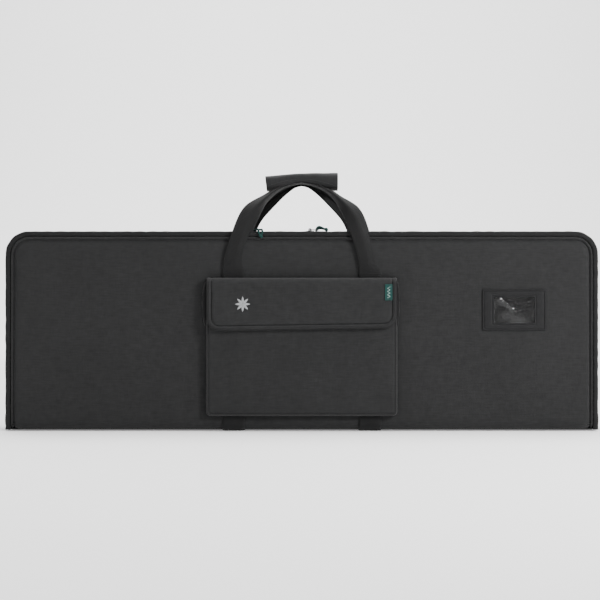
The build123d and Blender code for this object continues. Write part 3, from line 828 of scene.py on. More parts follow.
seam_points, _ = outline(fold_z + 12 * MM, 4 * MM, inset=binding_inset + 4.9 * MM)
stitches("front_seam_stitches", [on_face(seam_points, front_face, -0.1 * MM)], "front_cover")
stitches("back_seam_stitches", [on_face(seam_points, back_face, 0.1 * MM)], "back_shell", side=1)

# ---- Webbing ----

WEB_THICKNESS = 1.7 * MM


def ribbon(name, centres, out, width, fold=0.0, turn=0.0):
    """Webbing along centres, facing out. In radians, fold is how far each half turns back from flat,
    and turn rolls the whole strap about its length.
    """
    centres = np.asarray(centres, float)
    along = unit(np.gradient(centres, axis=0))
    out = unit(np.broadcast_to(np.asarray(out, float), centres.shape))
    across = unit(np.cross(along, out))
    out = np.cross(across, along)
    fold = np.broadcast_to(fold, len(centres))[:, None, None]
    turn = np.broadcast_to(turn, len(centres))[:, None]
    across, out = across * np.cos(turn) + out * np.sin(turn), out * np.cos(turn) - across * np.sin(turn)
    q = np.linspace(-1, 1, 13)[None, :, None] * width / 2
    soft = 1.2 * MM
    bent = np.sqrt(q**2 + soft**2) - soft
    lean = q / np.sqrt(q**2 + soft**2)
    middle = across[:, None] * q * np.cos(fold) - out[:, None] * (bent - width / 4) * np.sin(fold)
    normal = out[:, None] * np.cos(fold) + across[:, None] * lean * np.sin(fold)
    thick = WEB_THICKNESS / 2 * np.sqrt(np.clip(1 - np.abs(q / (width / 2)) ** 10, 0.12, 1))
    upper = centres[:, None] + middle + normal * thick
    lower = centres[:, None] + middle - normal * thick
    return grid(name, np.concatenate([upper, lower[:, ::-1]], axis=1), closed=True, capped=True)


def body_strap_path(side, x, top, tuck):
    """Up one face from under the base, lying on the cloth; side is -1 in front."""
    face, face_y = (front_face, front_y) if side < 0 else (back_face, back_y)
    lift = WEB_THICKNESS / 2 + 0.15 * MM
    under = base_z - lift
    path = [(x, face_y - side * d, under) for d in np.linspace(tuck, ROLL_RADIUS, 8)]
    outs = [(0, 0, -1)] * len(path)
    reach = ROLL_RADIUS + lift
    for turn in np.linspace(0, pi / 2, 9)[1:]:
        y = face_y - side * (ROLL_RADIUS - reach * sin(turn))
        path.append((x, y, base_z + ROLL_RADIUS - reach * cos(turn)))
        outs.append((0, side * sin(turn), -cos(turn)))
    start_y = path[-1][1]
    for z in np.linspace(base_z + ROLL_RADIUS + 4 * MM, top, 56):
        sag = np.clip((z - base_z - ROLL_RADIUS) / (12 * MM), 0, 1)
        spread = [face(x + k * strap_width, z) for k in (-0.45, -0.2, 0, 0.2, 0.45)]
        laid = (min(spread) if side < 0 else max(spread)) + side * lift
        path.append((x, start_y * (1 - sag) + laid * sag, z))
        outs.append((0, side, 0))
    return path, outs


for hand, sign in (("left", -1), ("right", 1)):
    for side, word, tuck in ((-1, "front", 45 * MM), (1, "back", 70 * MM)):
        path, outs = body_strap_path(side, sign * strap_x, strap_end_z, tuck)
        strap = ribbon(f"{word}_strap_{hand}", path, outs, strap_width)
        dressed(strap, webbing_cloth, "back_shell" if side > 0 else None, f"{word}_webbing_{hand}")
        if side < 0:
            over_fold(strap)
    edges = [sign * strap_x + edge * (strap_width / 2 - 2.2 * MM) for edge in (-1, 1)]
    heights = np.linspace(30 * MM, strap_end_z, 40)
    for side, word, face, body in (
        (-1, "front", front_face, "front_cover"),
        (1, "back", back_face, "back_shell"),
    ):
        lift = side * (WEB_THICKNESS + 0.1 * MM)
        lines = [on_face([(x, z) for z in heights], face, lift) for x in edges]
        stitches(f"{word}_strap_stitches_{hand}", lines, body, side=side)

# ---- Handles ----

grip_y = (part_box("grip_padding")[0].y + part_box("grip_padding")[1].y) / 2
grip_low, grip_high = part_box("grip_fabric")

# The strap's course from the sewn end to the middle of the grip: x and z as shares of the way in and
# up, the share of the lean from the panel to the grip, and the fold and the turn in degrees
FRONT_COURSE = (
    (0.00, 0.000, 0.00, 0, 0),
    (0.00, 0.080, 0.00, 4, 4),
    (0.03, 0.230, 0.00, 22, 18),
    (0.12, 0.440, 0.03, 26, 20),
    (0.20, 0.590, 0.10, 28, 12),
    (0.27, 0.680, 0.18, 34, 8),
    (0.36, 0.755, 0.32, 50, 6),
    (0.46, 0.825, 0.50, 66, 4),
    (0.58, 0.895, 0.74, 74, 0),
    (0.72, 0.950, 0.93, 80, 0),
    (0.87, 0.985, 1.00, 82, 0),
    (1.00, 1.000, 1.00, 82, 0),
)
BACK_COURSE = (
    (0.00, 0.000, 0.00, 0, 0),
    (0.00, 0.080, 0.00, 4, 0),
    (0.03, 0.230, 0.00, 20, 0),
    (0.13, 0.450, 0.03, 32, 0),
    (0.23, 0.600, 0.12, 38, 0),
    (0.32, 0.690, 0.24, 42, 0),
    (0.43, 0.765, 0.40, 46, 0),
    (0.56, 0.840, 0.62, 52, 0),
    (0.72, 0.915, 0.84, 64, 0),
    (0.88, 0.970, 0.97, 76, 0),
    (1.00, 0.985, 1.00, 82, 0),
)
STRAP_START = strap_end_z - 1.2 * MM
STRAP_MIDDLE = grip_low.z + 15 * MM


def handle(name, side, course, inner_y):
    """A whole handle's webbing, from its left sewn end through the grip to its right one."""
    sewn = body_strap_path(side, strap_x, STRAP_START, 45 * MM)[0][-1][1]
    rows = []
    for inward, up, lean, fold, turn in course:
        x = strap_x * (1 - inward)
        y = sewn + (inner_y - sewn) * lean
        z = STRAP_START + (STRAP_MIDDLE - STRAP_START) * up
        rows.append((x, y, z, radians(fold), radians(turn)))
    right = smooth_line(rows, 70)
    left = right * np.array([-1, 1, 1, 1, -1])
    whole = np.concatenate([left, right[-2::-1]])
    return ribbon(name, whole[:, :3], (0, side, 0), strap_width, np.maximum(whole[:, 3], 0), whole[:, 4])


for word, side, course, shell, face_y in (
    ("front", -1, FRONT_COURSE, "front_cover", front_y),
    ("back", 1, BACK_COURSE, "back_shell", back_y),
):
    strap = handle(f"{word}_handle_strap", side, course, grip_y + side * 10.5 * MM)
    dressed(strap, webbing_cloth, None, f"{word}_handle_webbing")
    over_joint(strap)

# ---- Grip: a padded wrap, open and flared at its ends ----

# Along the grip from left to right: x, bottom, top and half depth, in shares of the CAD grip's size
GRIP_COURSE = (
    (-1.00, 0.00, 0.84, 1.02),
    (-0.80, 0.06, 0.87, 1.00),
    (-0.50, 0.22, 0.93, 0.96),
    (-0.20, 0.42, 0.98, 0.93),
    (0.00, 0.46, 1.00, 0.92),
    (0.20, 0.42, 1.01, 0.93),
    (0.50, 0.22, 1.02, 0.96),
    (0.80, 0.08, 1.03, 1.00),
    (1.00, 0.04, 1.03, 1.02),
)


def grip_section(x, bottom, top, half_depth, wall):
    """Ring across the grip, drawn in by wall."""
    ring = []
    for turn in turns(40):
        c, s = cos(turn), sin(turn)
        y = grip_y + (half_depth - wall) * squared(c, 0.62)
        z = (bottom + top) / 2 + ((top - bottom) / 2 - wall) * squared(s, 0.62)
        ring.append((x, y, z))
    return ring


def grip_wrap():
    rows = np.array(GRIP_COURSE)
    half_length = (grip_high.x - grip_low.x) / 2
    height = grip_high.z - grip_low.z
    rows[:, 0] *= half_length
    rows[:, 1:3] = grip_low.z + rows[:, 1:3] * height
    rows[:, 3] *= (grip_high.y - grip_low.y) / 2
    course = smooth_line(rows, 41)
    sections = [grip_section(*row, 0.0) for row in course]
    start, end = course[0], course[-1]
    wall = 5.0 * MM
    lips = [(0.6, 0.1), (0.2, 0.5), (-0.4, 0.9), (-3, 1.0), (-14, 1.05)]
    first = [grip_section(start[0] - 0.8 * MM * reach, *start[1:], wall * draw) for reach, draw in lips]
    last = [grip_section(end[0] + 0.8 * MM * reach, *end[1:], wall * draw) for reach, draw in lips]
    points = np.array(first[::-1] + sections + last)
    slant = (points[..., 2] - grip_low.z) / height * np.clip(-points[..., 0] / half_length, 0, 1)
    points[..., 0] -= slant * 3.5 * MM - 2.0 * MM * np.clip(-points[..., 0] / half_length, 0, 1)
    points[..., 1] += ripple(points[..., 0], points[..., 2], 22 * MM, 51) * 0.35 * MM
    points[..., 2] += ripple(points[..., 0], points[..., 1], 28 * MM, 52) * 0.3 * MM
    piece = grid("grip_wrap", points, closed=True, capped=True)
    rim = len(lips)
    held = np.zeros(points.shape[:2], bool)
    held[: rim + 1] = held[-rim - 1 :] = True
    inflate(piece, held.reshape(-1), 1.5, 1.5 * MM)
    return subdivided(piece)


wrap = dressed(grip_wrap(), grip_cloth, "front_handle", ("grip_fabric", "grip_padding"))


def grip_arch(x, rise, foot=0.0):
    """Height of the grip's hollow underside, as its hook and loop strip and its hem follow it."""
    return grip_low.z + (grip_high.z - grip_low.z) * (rise * (1 - (x / grip_high.x) ** 2) ** 1.1 + foot)


STRIP_HALF = 11 * MM
strip_rows = []
for x in np.linspace(grip_low.x + 4 * MM, grip_high.x - 4 * MM, 30):
    z = grip_arch(x, 0.45) + 0.6 * MM
    across = np.linspace(-STRIP_HALF, STRIP_HALF, 9)
    strip_rows.append([(x, grip_y + w, z - 0.9 * MM * cos(w / STRIP_HALF * 1.2)) for w in across])
closure = thickened(grid("grip_closure", strip_rows), 1.2 * MM, 0.0)
dressed(closure, hook_loop, "front_handle", ("grip_loop_strip", "grip_hook_strip"))
across = np.linspace(grip_low.x + 3 * MM, grip_high.x - 2 * MM, 50)
hem = [(x, grip_arch(x, 0.44, 0.15) + 1.5 * MM) for x in across]
hem = on_face(hem, surface_of(wrap, 1), -0.1 * MM)
stitches("grip_stitches", [hem], "front_handle", material=grey_thread)

# ---- Pocket: a shallow bag of cloth, slightly full below its flap ----

pocket_low, pocket_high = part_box("pocket_front")
pocket_half = pocket_high.x
flap_axis = joint_at["flap_fold"]
flap_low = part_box("flap_fabric")[0]
POCKET_OFFSETS = np.array([0, 0.15, 0.3, 0.6, 1.2, 2.4, 3.6, 4.6, 5.6, 8, 12, 18, 26]) * MM
# Height of the pocket's cloth over the cover at a distance from its edge
POCKET_RIM = (
    (0, 0), (0.15, 3.5), (0.3, 6.5), (0.6, 9), (1.2, 10.8), (2.4, 12.2), (3.6, 12.2), (4.6, 10.9),
    (5.6, 11.9), (8, 12.4),
)
POCKET_FULLNESS = 2.4 * MM


def crease(x, z, start, end, width, depth):
    """A soft dent along a line from start to end."""
    (ax, az), (bx, bz) = start, end
    length = hypot(bx - ax, bz - az)
    along = ((x - ax) * (bx - ax) + (z - az) * (bz - az)) / length**2
    nearest = np.clip(along, 0, 1)
    away = np.hypot(x - ax - nearest * (bx - ax), z - az - nearest * (bz - az))
    return -depth * np.exp(-((away / width) ** 2)) * np.sin(np.pi * np.clip(along * 0.9 + 0.05, 0, 1))


def pocket_bag():
    length = pocket_high.z - pocket_low.z
    x, t, distance = rounded_grid(pocket_half, length, 8 * MM, POCKET_OFFSETS, 6 * MM)
    height = rim_height(POCKET_RIM, distance)
    open_part = flap_low.z - pocket_low.z
    full = np.sin(np.pi * np.clip(t / open_part, 0, 1)) * (1 - (x / pocket_half) ** 2)
    calm = np.clip((distance - 4 * MM) / (25 * MM), 0, 1)
    calm = calm * np.clip((open_part - t) / (20 * MM) + 0.15, 0.15, 1)
    z = pocket_low.z + t
    uneven = ripple(x, t, 75 * MM, 61) * 1.2 * MM + ripple(x, t, 24 * MM, 62) * 0.32 * MM
    height += POCKET_FULLNESS * full + calm * uneven
    for sign in (-1, 1):
        corner = (sign * (pocket_half - 4 * MM), pocket_low.z + 5 * MM)
        end = (sign * (pocket_half - 55 * MM), pocket_low.z + 34 * MM)
        height += crease(x, z, corner, end, 7 * MM, 0.9 * MM) * calm
    return thickened(subdivided_sheet("pocket_bag", x, front_y - height, z), 1.2 * MM)


pocket = dressed(pocket_bag(), outer_cloth, "front_cover", ("pocket_front", "pocket_side"))
pocket_face = surface_of(pocket, 1)


def mouth_hem():
    """Tape folded over the pocket's mouth."""
    section = ((-0.6, -11), (-0.7, -5), (-0.6, 0), (0.6, 0.5), (1.8, 0), (1.9, -11))
    tape = [(pocket_low.y + y * MM, pocket_high.z + z * MM) for y, z in section]
    across = np.linspace(-pocket_half + 2 * MM, pocket_half - 2 * MM, 120)
    rows = [[(x, y + ripple(x, z, 40 * MM, 63) * 0.15 * MM, z) for y, z in tape] for x in across]
    return thickened(subdivided(grid("pocket_mouth_hem", rows)), 0.7 * MM, 0.0)


dressed(mouth_hem(), binding_cloth, "front_cover", "pocket_hem")


def shaded_gusset_fold(name, side, reach):
    """Where the pocket's gathered side bulges out past its front, beside the flap, in dark cloth that paints
    the shadow there.
    """
    rows = []
    for k in range(25):
        share = k / 24
        swell = reach * sin(pi * (0.04 + 0.92 * share)) ** 0.6
        ring = []
        for turn in turns(16):
            x = side * (pocket_half - 2 * MM + (swell + 2 * MM) * (0.5 + 0.5 * cos(turn)))
            y = front_y - 5.2 * MM - 4.6 * MM * squared(sin(turn), 0.8)
            z = pocket_high.z - 74 * MM * (1 - share)
            ring.append((x + float(ripple(z, turn, 24 * MM, 65)) * 0.4 * MM, y, z))
        rows.append(ring)
    return grid(name, rows[::-1] if side < 0 else rows, closed=True, capped=True)


# Dark binding cloth paints the shadow beside the flap; the left bulge is wider, where that shadow falls.
dressed(shaded_gusset_fold("pocket_gusset_shade_left", -1, 7 * MM), binding_cloth, "front_cover")
dressed(shaded_gusset_fold("pocket_gusset_shade_right", 1, 3.5 * MM), binding_cloth, "front_cover")

inner = pocket_half - 4.6 * MM
foot = pocket_low.z + 4.6 * MM
right_part = [(inner - 4 * MM, 0, foot), (inner, 0, foot + 4 * MM), (inner, 0, flap_low.z + 10 * MM)]
left_part = [(-x, 0, z) for x, _, z in right_part[::-1]]
pocket_line = [(x, z) for x, _, z in resampled(left_part + right_part, 4 * MM)]
stitches("pocket_stitches", [on_face(pocket_line, pocket_face, -0.05 * MM)], "front_cover")

# ---- Flap: one sheet from its sewn top, over the pocket's mouth and down in front ----

FLAP_OFFSETS = np.array([0, 0.6, 1.4, 2.6, 4.5, 6.2, 7.2, 8.0, 8.8, 10, 13, 18]) * MM
# Height of the flap's cloth at a distance from its edge, with a sewn groove
FLAP_RIM = (
    (0, -1.2), (0.6, 0.4), (1.4, 1.1), (2.6, 1.5), (4.5, 1.5), (6.2, 1.0), (7.2, -0.4), (8.0, -1.1),
    (8.8, -0.3), (10, 0.7), (13, 1.0), (300, 0.9),
)
# Dents beside the badge: start and end from its middle, in mm
FLAP_CREASES = (((-26, 34), (-8, 17)), ((16, 36), (7, 14)), ((10, 40), (30, 12)))
FLAP_ROLL = 5.5 * MM
FLAP_CORNER = 22 * MM
FLAP_SKEW = 5 * MM
flap_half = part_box("flap_fabric")[1].x - 4 * MM
flap_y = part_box("flap_fabric")[0].y
flap_top = flap_axis.z + 1.2 * MM
badge_low, badge_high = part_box("star_badge")
badge_x, badge_z = (badge_low.x + badge_high.x) / 2, (badge_low.z + badge_high.z) / 2
badge_radius = (badge_high.x - badge_low.x) / 2


def flap_skew(x, up):
    """How much higher the flap hangs towards its right; up is the share of the way to its top."""
    return FLAP_SKEW * (x + flap_half) / (2 * flap_half) * np.clip(1 - up, 0, 1)


def flap_sheet():
    drop = flap_top - FLAP_ROLL - flap_low.z
    length = drop + FLAP_ROLL * pi / 2 + front_y - flap_y - FLAP_ROLL - 1.5 * MM
    x, t, distance = rounded_grid(flap_half, length, FLAP_CORNER, FLAP_OFFSETS, 5 * MM)
    turn = np.clip((t - drop) / FLAP_ROLL, 0, pi / 2)
    proud = rim_height(FLAP_RIM, distance)
    slack = np.clip(1 - t / drop, 0, 1)
    calm = np.clip((drop - t) / (25 * MM), 0, 1)
    uneven = ripple(x, t, 85 * MM, 71) * 1.1 * MM + ripple(x, t, 26 * MM, 72) * 0.36 * MM
    proud += calm * uneven + slack**2 * 3.2 * MM
    z = flap_low.z + np.minimum(t, drop) + FLAP_ROLL * np.sin(turn)
    for start, end in FLAP_CREASES:
        a = (badge_x + start[0] * MM, badge_z + start[1] * MM)
        b = (badge_x + end[0] * MM, badge_z + end[1] * MM)
        proud += crease(x, z, a, b, 4.2 * MM, 1.2 * MM)
    y = flap_y + FLAP_ROLL * (1 - np.cos(turn)) + np.maximum(t - drop - FLAP_ROLL * pi / 2, 0)
    z = z + flap_skew(x, t / drop) + proud * np.sin(turn) * 0.5
    return thickened(subdivided_sheet("flap", x, y - proud * np.cos(turn), z), 1.4 * MM)


flap = dressed(flap_sheet(), outer_cloth, None, ("flap_fabric", "flap_top_strip"))
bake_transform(flap)
flap_face = surface_of(flap, 1)


def flap_outline(margin):
    """Points (x, z) down the left edge, along the bottom and up the right edge, inside a margin."""
    half, low = flap_half - margin, flap_low.z + margin
    radius = FLAP_CORNER - margin
    path = [(-half, flap_top - FLAP_ROLL)]
    for sign in (-1, 1):
        turns = np.linspace(0, pi / 2, 9)
        arc = [(sign * (half - radius + radius * cos(a)), low + radius - radius * sin(a)) for a in turns]
        path += arc if sign < 0 else arc[::-1]
    path.append((half, flap_top - FLAP_ROLL))
    path = resampled([(x, 0, z) for x, z in path], 3.5 * MM)
    return [(x, z + flap_skew(x, (z - flap_low.z) / (flap_top - flap_low.z))) for x, _, z in path]


def tube(name, path, radius):
    """Round cord along a path of (x, y, z)."""
    line = np.asarray(path, float)
    along = unit(np.gradient(line, axis=0))
    level = unit(np.cross(along, np.array([0.1, 0.2, 1.0])))
    upright = np.cross(level, along)
    turn = np.array(turns(12))[None, :, None]
    points = line[:, None] + radius * (level[:, None] * np.cos(turn) + upright[:, None] * np.sin(turn))
    return grid(name, points, closed=True, capped=True)


edge_path = on_face(flap_outline(0.9 * MM), flap_face, 1.1 * MM)
edge = tube("flap_edge_tape", edge_path, 1.5 * MM)
dressed(edge, binding_cloth, "pocket_flap", "flap_binding")
# The inner row is thick black thread in the sewn groove, which also paints the groove's shade.
for number, margin, size in ((1, 3.4 * MM, 1.0), (2, 8.0 * MM, 1.7)):
    flap_line = on_face(flap_outline(margin), flap_face, -0.05 * MM)
    stitches(f"flap_stitches_{number}", [flap_line], "pocket_flap", size=size)


def flap_inner():
    """Lining on the flap's back."""
    margin = 7 * MM
    half = flap_half - margin
    length = flap_top - 9 * MM - flap_low.z - margin
    offsets = np.array([0, 0.8, 2, 4, 8]) * MM
    x, t, distance = rounded_grid(half, length, FLAP_CORNER - margin, offsets, 8 * MM)
    swell = 0.5 * MM * (1 - np.exp(-distance / (3 * MM))) + ripple(x, t, 45 * MM, 73) * 0.15 * MM
    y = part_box("flap_lining")[1].y - 0.9 * MM + swell
    z = flap_low.z + margin + t + flap_skew(x, t / length)
    return subdivided(grid("flap_inner", xyz(x, y, z)[:, ::-1]))


dressed(flap_inner(), lining_cloth, "pocket_flap", "flap_lining")


def patch(name, low, high, near, back):
    """Hook or loop tape with softly rounded corners, between two limits across and two in depth."""
    half_x, half_z = (high.x - low.x) / 2, (high.z - low.z) / 2
    middle_x, middle_z = (low.x + high.x) / 2, (low.z + high.z) / 2
    rows = []
    for size, y in ((0.2, near), (0.9, near), (0.985, near + (back - near) * 0.25), (1.0, back)):
        ring = []
        for turn in turns(64):
            c, s = cos(turn), sin(turn)
            grow = 1 / max(abs(c) ** 14 + abs(s) ** 14, 1e-9) ** (1 / 14)
            ring.append((middle_x + half_x * size * c * grow, y, middle_z + half_z * size * s * grow))
        rows.append(ring)
    return grid(name, rows, closed=True, capped=True)


def pair_of_patches(node, word, near_first, body):
    low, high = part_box(node)
    width = 60 * MM
    near, back = (low.y, high.y) if near_first else (high.y, low.y)
    for hand, start in (("left", low.x), ("right", high.x - width)):
        one_low, one_high = Vector((start, 0, low.z)), Vector((start + width, 0, high.z))
        made = patch(f"{word}_patch_{hand}", one_low, one_high, near, back)
        dressed(made, hook_loop, body, node)
        inset = 2 * MM
        (x0, x1), (z0, z1) = (one_low.x + inset, one_high.x - inset), (one_low.z + inset, one_high.z - inset)
        ring = [(x, near, z) for x, z in ((x0, z0), (x1, z0), (x1, z1), (x0, z1), (x0, z0))]
        stitches(f"{word}_patch_stitches_{hand}", [ring], body, side=-1 if near_first else 1)


pair_of_patches("pocket_loop_patches", "loop", True, "front_cover")
pair_of_patches("flap_hook_patches", "hook", False, "pocket_flap")

# ---- Star badge and woven label ----


def star_badge():
    """Eight-pointed embroidered star: raised threads that rise to the middle of each point."""
    waist = 0.45
    rows = []
    for ring in np.linspace(1.0, 0.03, 14):
        row = []
        for turn in turns(160):
            part = abs(turn / (pi / 8) % 2 - 1)
            reach = badge_radius * (waist + (1 - waist) * (1 - part) ** 1.25)
            threads = 0.10 * cos(2 * pi * ring * badge_radius / (0.9 * MM))
            height = (1.1 * (1 - ring**4) * (0.55 + 0.45 * (1 - part)) + threads * (ring < 0.97)) * MM
            x = badge_x + ring * reach * sin(turn + pi / 8)
            z = badge_z + ring * reach * cos(turn + pi / 8)
            row.append((x, flap_face(x, z) + 0.2 * MM - height, z))
        rows.append(row)
    return grid("star_badge_embroidery", rows, closed=True, capped=True)


dressed(star_badge(), silver_thread, "pocket_flap", "star_badge")

label_low, label_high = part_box("woven_label")


def label_sheet():
    x = np.linspace(label_low.x, label_high.x, 14)
    z = np.linspace(label_low.z, label_high.z, 26)
    gx, gz = np.meshgrid(x, z)
    share = (gz - label_low.z) / (label_high.z - label_low.z)
    lift = 0.7 * MM + 0.5 * MM * (1 - share) ** 2 + 0.15 * MM * np.sin(gx / (2 * MM))
    y = np.array([[flap_face(a, b) for a, b in zip(*pair)] for pair in zip(gx, gz)]) - lift
    return thickened(subdivided_sheet("woven_label_cloth", gx, y, gz), 0.5 * MM, 0.0)


label = dressed(label_sheet(), teal_satin, "pocket_flap", "woven_label")
label_face = surface_of(label, 1)
label_x = (label_low.x + label_high.x) / 2
heights = np.linspace(label_low.z + 4 * MM, label_high.z - 4 * MM, 8)
zigzag = [(label_x + (2.6 * MM if n % 2 else -2.6 * MM), z) for n, z in enumerate(heights)]
zigzag = on_face(zigzag, label_face, -0.1 * MM)
stitches("label_pattern", [zigzag], "pocket_flap", material=label_thread, pitch=1.6 * MM, size=0.9)
across = np.linspace(label_low.x + 1 * MM, label_high.x - 1 * MM, 8)
heights = (label_low.z + 1.4 * MM, label_high.z - 1.4 * MM)
ends = [on_face([(x, z) for x in across], label_face, -0.05 * MM) for z in heights]
stitches("label_stitches", ends, "pocket_flap", material=grey_thread, pitch=2.4 * MM, size=0.7)

# ---- Card holder ----

holder_low, holder_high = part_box("card_holder_frame")
holder_x, holder_z = (holder_low.x + holder_high.x) / 2, (holder_low.z + holder_high.z) / 2
WINDOW = (34 * MM, 22 * MM)
# From the frame's outer edge to the window: which edge it is measured from, how far, and the height
HOLDER_RIM = (
    ("out", 0, -0.6), ("out", 0.1, 0.9), ("out", 0.6, 2.0), ("out", 1.6, 2.4), ("out", 2.5, 2.2),
    ("out", 3.2, 1.0), ("out", 4.0, 2.0), ("out", 6, 2.4), ("in", 6, 2.4), ("in", 3.7, 2.1),
    ("in", 2.9, 1.1), ("in", 2.2, 2.1), ("in", 0.9, 2.3), ("in", 0.2, 1.8), ("in", 0, 0.6),
)


def rectangle(half_x, half_z, radius, count=44):
    """Closed run of (x, z) round a rectangle with small round corners, with count points a side."""
    points = []
    for side in range(4):
        turn = side * pi / 2
        a, b = (half_x, half_z) if side % 2 == 0 else (half_z, half_x)
        for n in range(count):
            along = -1 + 2 * n / count
            u, v = a, along * b
            over = max(abs(v) - (b - radius), 0)
            u -= radius - sqrt(max(radius**2 - over**2, 0))
            points.append((u * cos(turn) - v * sin(turn), u * sin(turn) + v * cos(turn)))
    return points


def holder_frame():
    half_x, half_z = holder_high.x - holder_x, holder_high.z - holder_z
    loops = []
    for edge, away, height in HOLDER_RIM:
        away *= MM
        size = (half_x - away, half_z - away) if edge == "out" else (WINDOW[0] + away, WINDOW[1] + away)
        loop = []
        for x, z in rectangle(*size, 1.2 * MM):
            x, z = holder_x + x, holder_z + z
            wavy = ripple(x, z, 30 * MM, 81) * 0.2 * MM
            loop.append((x, front_face(x, z) - height * MM - float(wavy), z))
        loops.append(loop)
    return subdivided(grid("card_frame", loops, closed=True))


dressed(holder_frame(), holder_vinyl, "front_cover", "card_holder_frame")


def pleat(x, z, start, end, width, height):
    """A raised fold with flat flanks along a line from start to end."""
    (ax, az), (bx, bz) = start, end
    along = np.clip(((x - ax) * (bx - ax) + (z - az) * (bz - az)) / hypot(bx - ax, bz - az) ** 2, 0, 1)
    away = np.hypot(x - ax - along * (bx - ax), z - az - along * (bz - az))
    return height * np.clip(1 - away / width, 0, 1)


# Folds in the clear window: start and end from its middle, and width, in mm
WINDOW_PLEATS = (((-25, 18), (-21, 12.5), 4.2), ((-21, 14), (-3, 1), 3.4), ((31, 17), (31, -8), 2.2))


def film(name, lift, seed, unevenness, fullness=0.0, pleats=()):
    """Thin sheet behind the frame's opening."""
    x = np.linspace(holder_x - WINDOW[0] - 3 * MM, holder_x + WINDOW[0] + 3 * MM, 92)
    z = np.linspace(holder_z - WINDOW[1] - 3 * MM, holder_z + WINDOW[1] + 3 * MM, 60)
    gx, gz = np.meshgrid(x, z)
    face = np.array([[front_face(a, b) for a, b in zip(*pair)] for pair in zip(gx, gz)])
    swell = np.cos((gx - holder_x) / WINDOW[0] * 1.3) * np.cos((gz - holder_z) / WINDOW[1] * 1.3)
    wrinkle = ripple(gx, gz, 26 * MM, seed)
    for start, end, width in pleats:
        a = (holder_x + start[0] * MM, holder_z + start[1] * MM)
        b = (holder_x + end[0] * MM, holder_z + end[1] * MM)
        wrinkle += pleat(gx, gz, a, b, width * MM, 0.45 * width * MM) / unevenness
    y = face - lift - swell * fullness - wrinkle * unevenness
    return thickened(grid(name, xyz(gx, y, gz)), 0.3 * MM, 0.0)


window = film("card_window_film", 0.9 * MM, 83, 0.12 * MM, 0.5 * MM, WINDOW_PLEATS)
dressed(window, window_vinyl, "front_cover", "card_window")
dressed(film("card_backing", 0.35 * MM, 84, 0.05 * MM), holder_vinyl, "front_cover")
outer_seam = (holder_high.x - holder_x - 3.2 * MM, holder_high.z - holder_z - 3.2 * MM)
inner_seam = (WINDOW[0] + 2.9 * MM, WINDOW[1] + 2.9 * MM)
frame_lines = []
for half_x, half_z in (outer_seam, inner_seam):
    loop = [(holder_x + x, holder_z + z) for x, z in rectangle(half_x, half_z, 1.2 * MM)]
    frame_lines.append(on_face(loop + loop[:1], front_face, -1.25 * MM))
stitches("card_frame_stitches", frame_lines, "front_cover", pitch=3 * MM)

# ---- Zip ends, sliders and pulls ----


def end_tab(name, node):
    """Folded scrap of cloth that covers the zip's end."""
    low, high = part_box(node)
    low_x, high_x = sorted((low.x, high.x), key=abs)
    out = copysign(1, low_x)
    rows = []
    for k, z in enumerate(np.linspace(low.z, high.z, 14)):
        edge = sin(pi * (k + 0.35) / 13.7) ** 0.35
        ring = []
        for turn in turns(24):
            c, s = cos(turn), sin(turn)
            swell = 2.0 * MM * edge * squared(c, 0.6)
            y = (low.y + high.y) / 2 + (high.y - low.y) / 2 * (0.9 + 0.1 * edge) * squared(s, 0.6)
            ring.append((high_x - out * 2.2 * MM + swell, y + float(ripple(z, s, 20 * MM, 91)) * 0.2 * MM, z))
        rows.append(ring)
    return subdivided(grid(name, rows, closed=True, capped=True))


for hand in ("left", "right"):
    node = f"zip_end_tab_{hand}"
    dressed(end_tab(f"zip_end_cover_{hand}", node), binding_cloth, "back_shell", node)


def joined(pieces, name):
    """One object from several."""
    with bpy.context.temp_override(active_object=pieces[0], selected_editable_objects=pieces):
        bpy.ops.object.join()
    pieces[0].name = name
    return pieces[0]


CORD = 1.7 * MM


def pull_loop(hand, strands, knot):
    """The cord end on a zip pull: two strands and their knot, from points in metres."""
    parts = [tube(f"strand_{n}", smooth_line(strand, 60), CORD) for n, strand in enumerate(strands)]
    parts.append(tube("knot", smooth_line(knot, 30), 1.25 * CORD))
    return joined(parts, f"pull_loop_{hand}")


def shifted(points, x, y, z):
    """Points in mm from a place in metres."""
    return [(x + a * MM, y + b * MM, z + c * MM) for a, b, c in points]


def pull_places(hand):
    """The cord's box, the X of the hole in the pull tab, and the tab's middle height."""
    tab_low, tab_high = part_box(f"pull_tab_{hand}")
    return *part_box(f"pull_cord_{hand}"), tab_high.x - 3.4 * MM, (tab_low.z + tab_high.z) / 2


low, high, hole, middle_z = pull_places("left")
strands = []
for x in (low.x + 3 * MM, high.x - 5 * MM):
    strand = shifted([(0, -1, -2), (1, -2, 0)], hole, zip_y, middle_z)
    strand.append((x, (zip_y + low.y) / 2, middle_z))
    strand += shifted([(1, 1, -0.6), (2, 0, -5)], x, low.y, middle_z)
    strands.append(strand + shifted([(8, 0.5, -3)], low.x, low.y, low.z))
knot = [(6, 0.6, -1.5), (8, -0.4, -3), (10, 0.4, -4.5), (8, 0.8, -6)]
cord = pull_loop("left", strands, shifted(knot, low.x, low.y, low.z))
dressed(cord, teal_braid, None, "pull_cord_left")
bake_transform(cord)

low, high, hole, middle_z = pull_places("right")
run = shifted([(0, -0.6, -2.4), (1, -0.9, 2.4), (5, -1.5, 5.4), (11, -1.4, 3.4)], hole, 0, 0)
run += shifted([(-1, -0.9, 0.2)], high.x, 0, 0)
back = [(x + 2 * MM, -y, 0.5 * z) for x, y, z in run]
strands = [[(x, zip_y + y, middle_z + z) for x, y, z in way] for way in (run, back)]
knot = [(-2.5, -1.5, 0.6), (0, 0, 1.8), (1.5, 1.5, 0), (-1, 0, -1.2)]
cord = pull_loop("right", strands, shifted(knot, high.x, zip_y, middle_z))
dressed(cord, teal_braid, "pull_right", "pull_cord_right")

for node in ("slider_left", "slider_right", "pull_tab_left", "pull_tab_right"):
    materials = frame["nodes"][node].data.materials
    materials.clear()
    materials.append(enamel)

# ---- Camera, light and floor ----


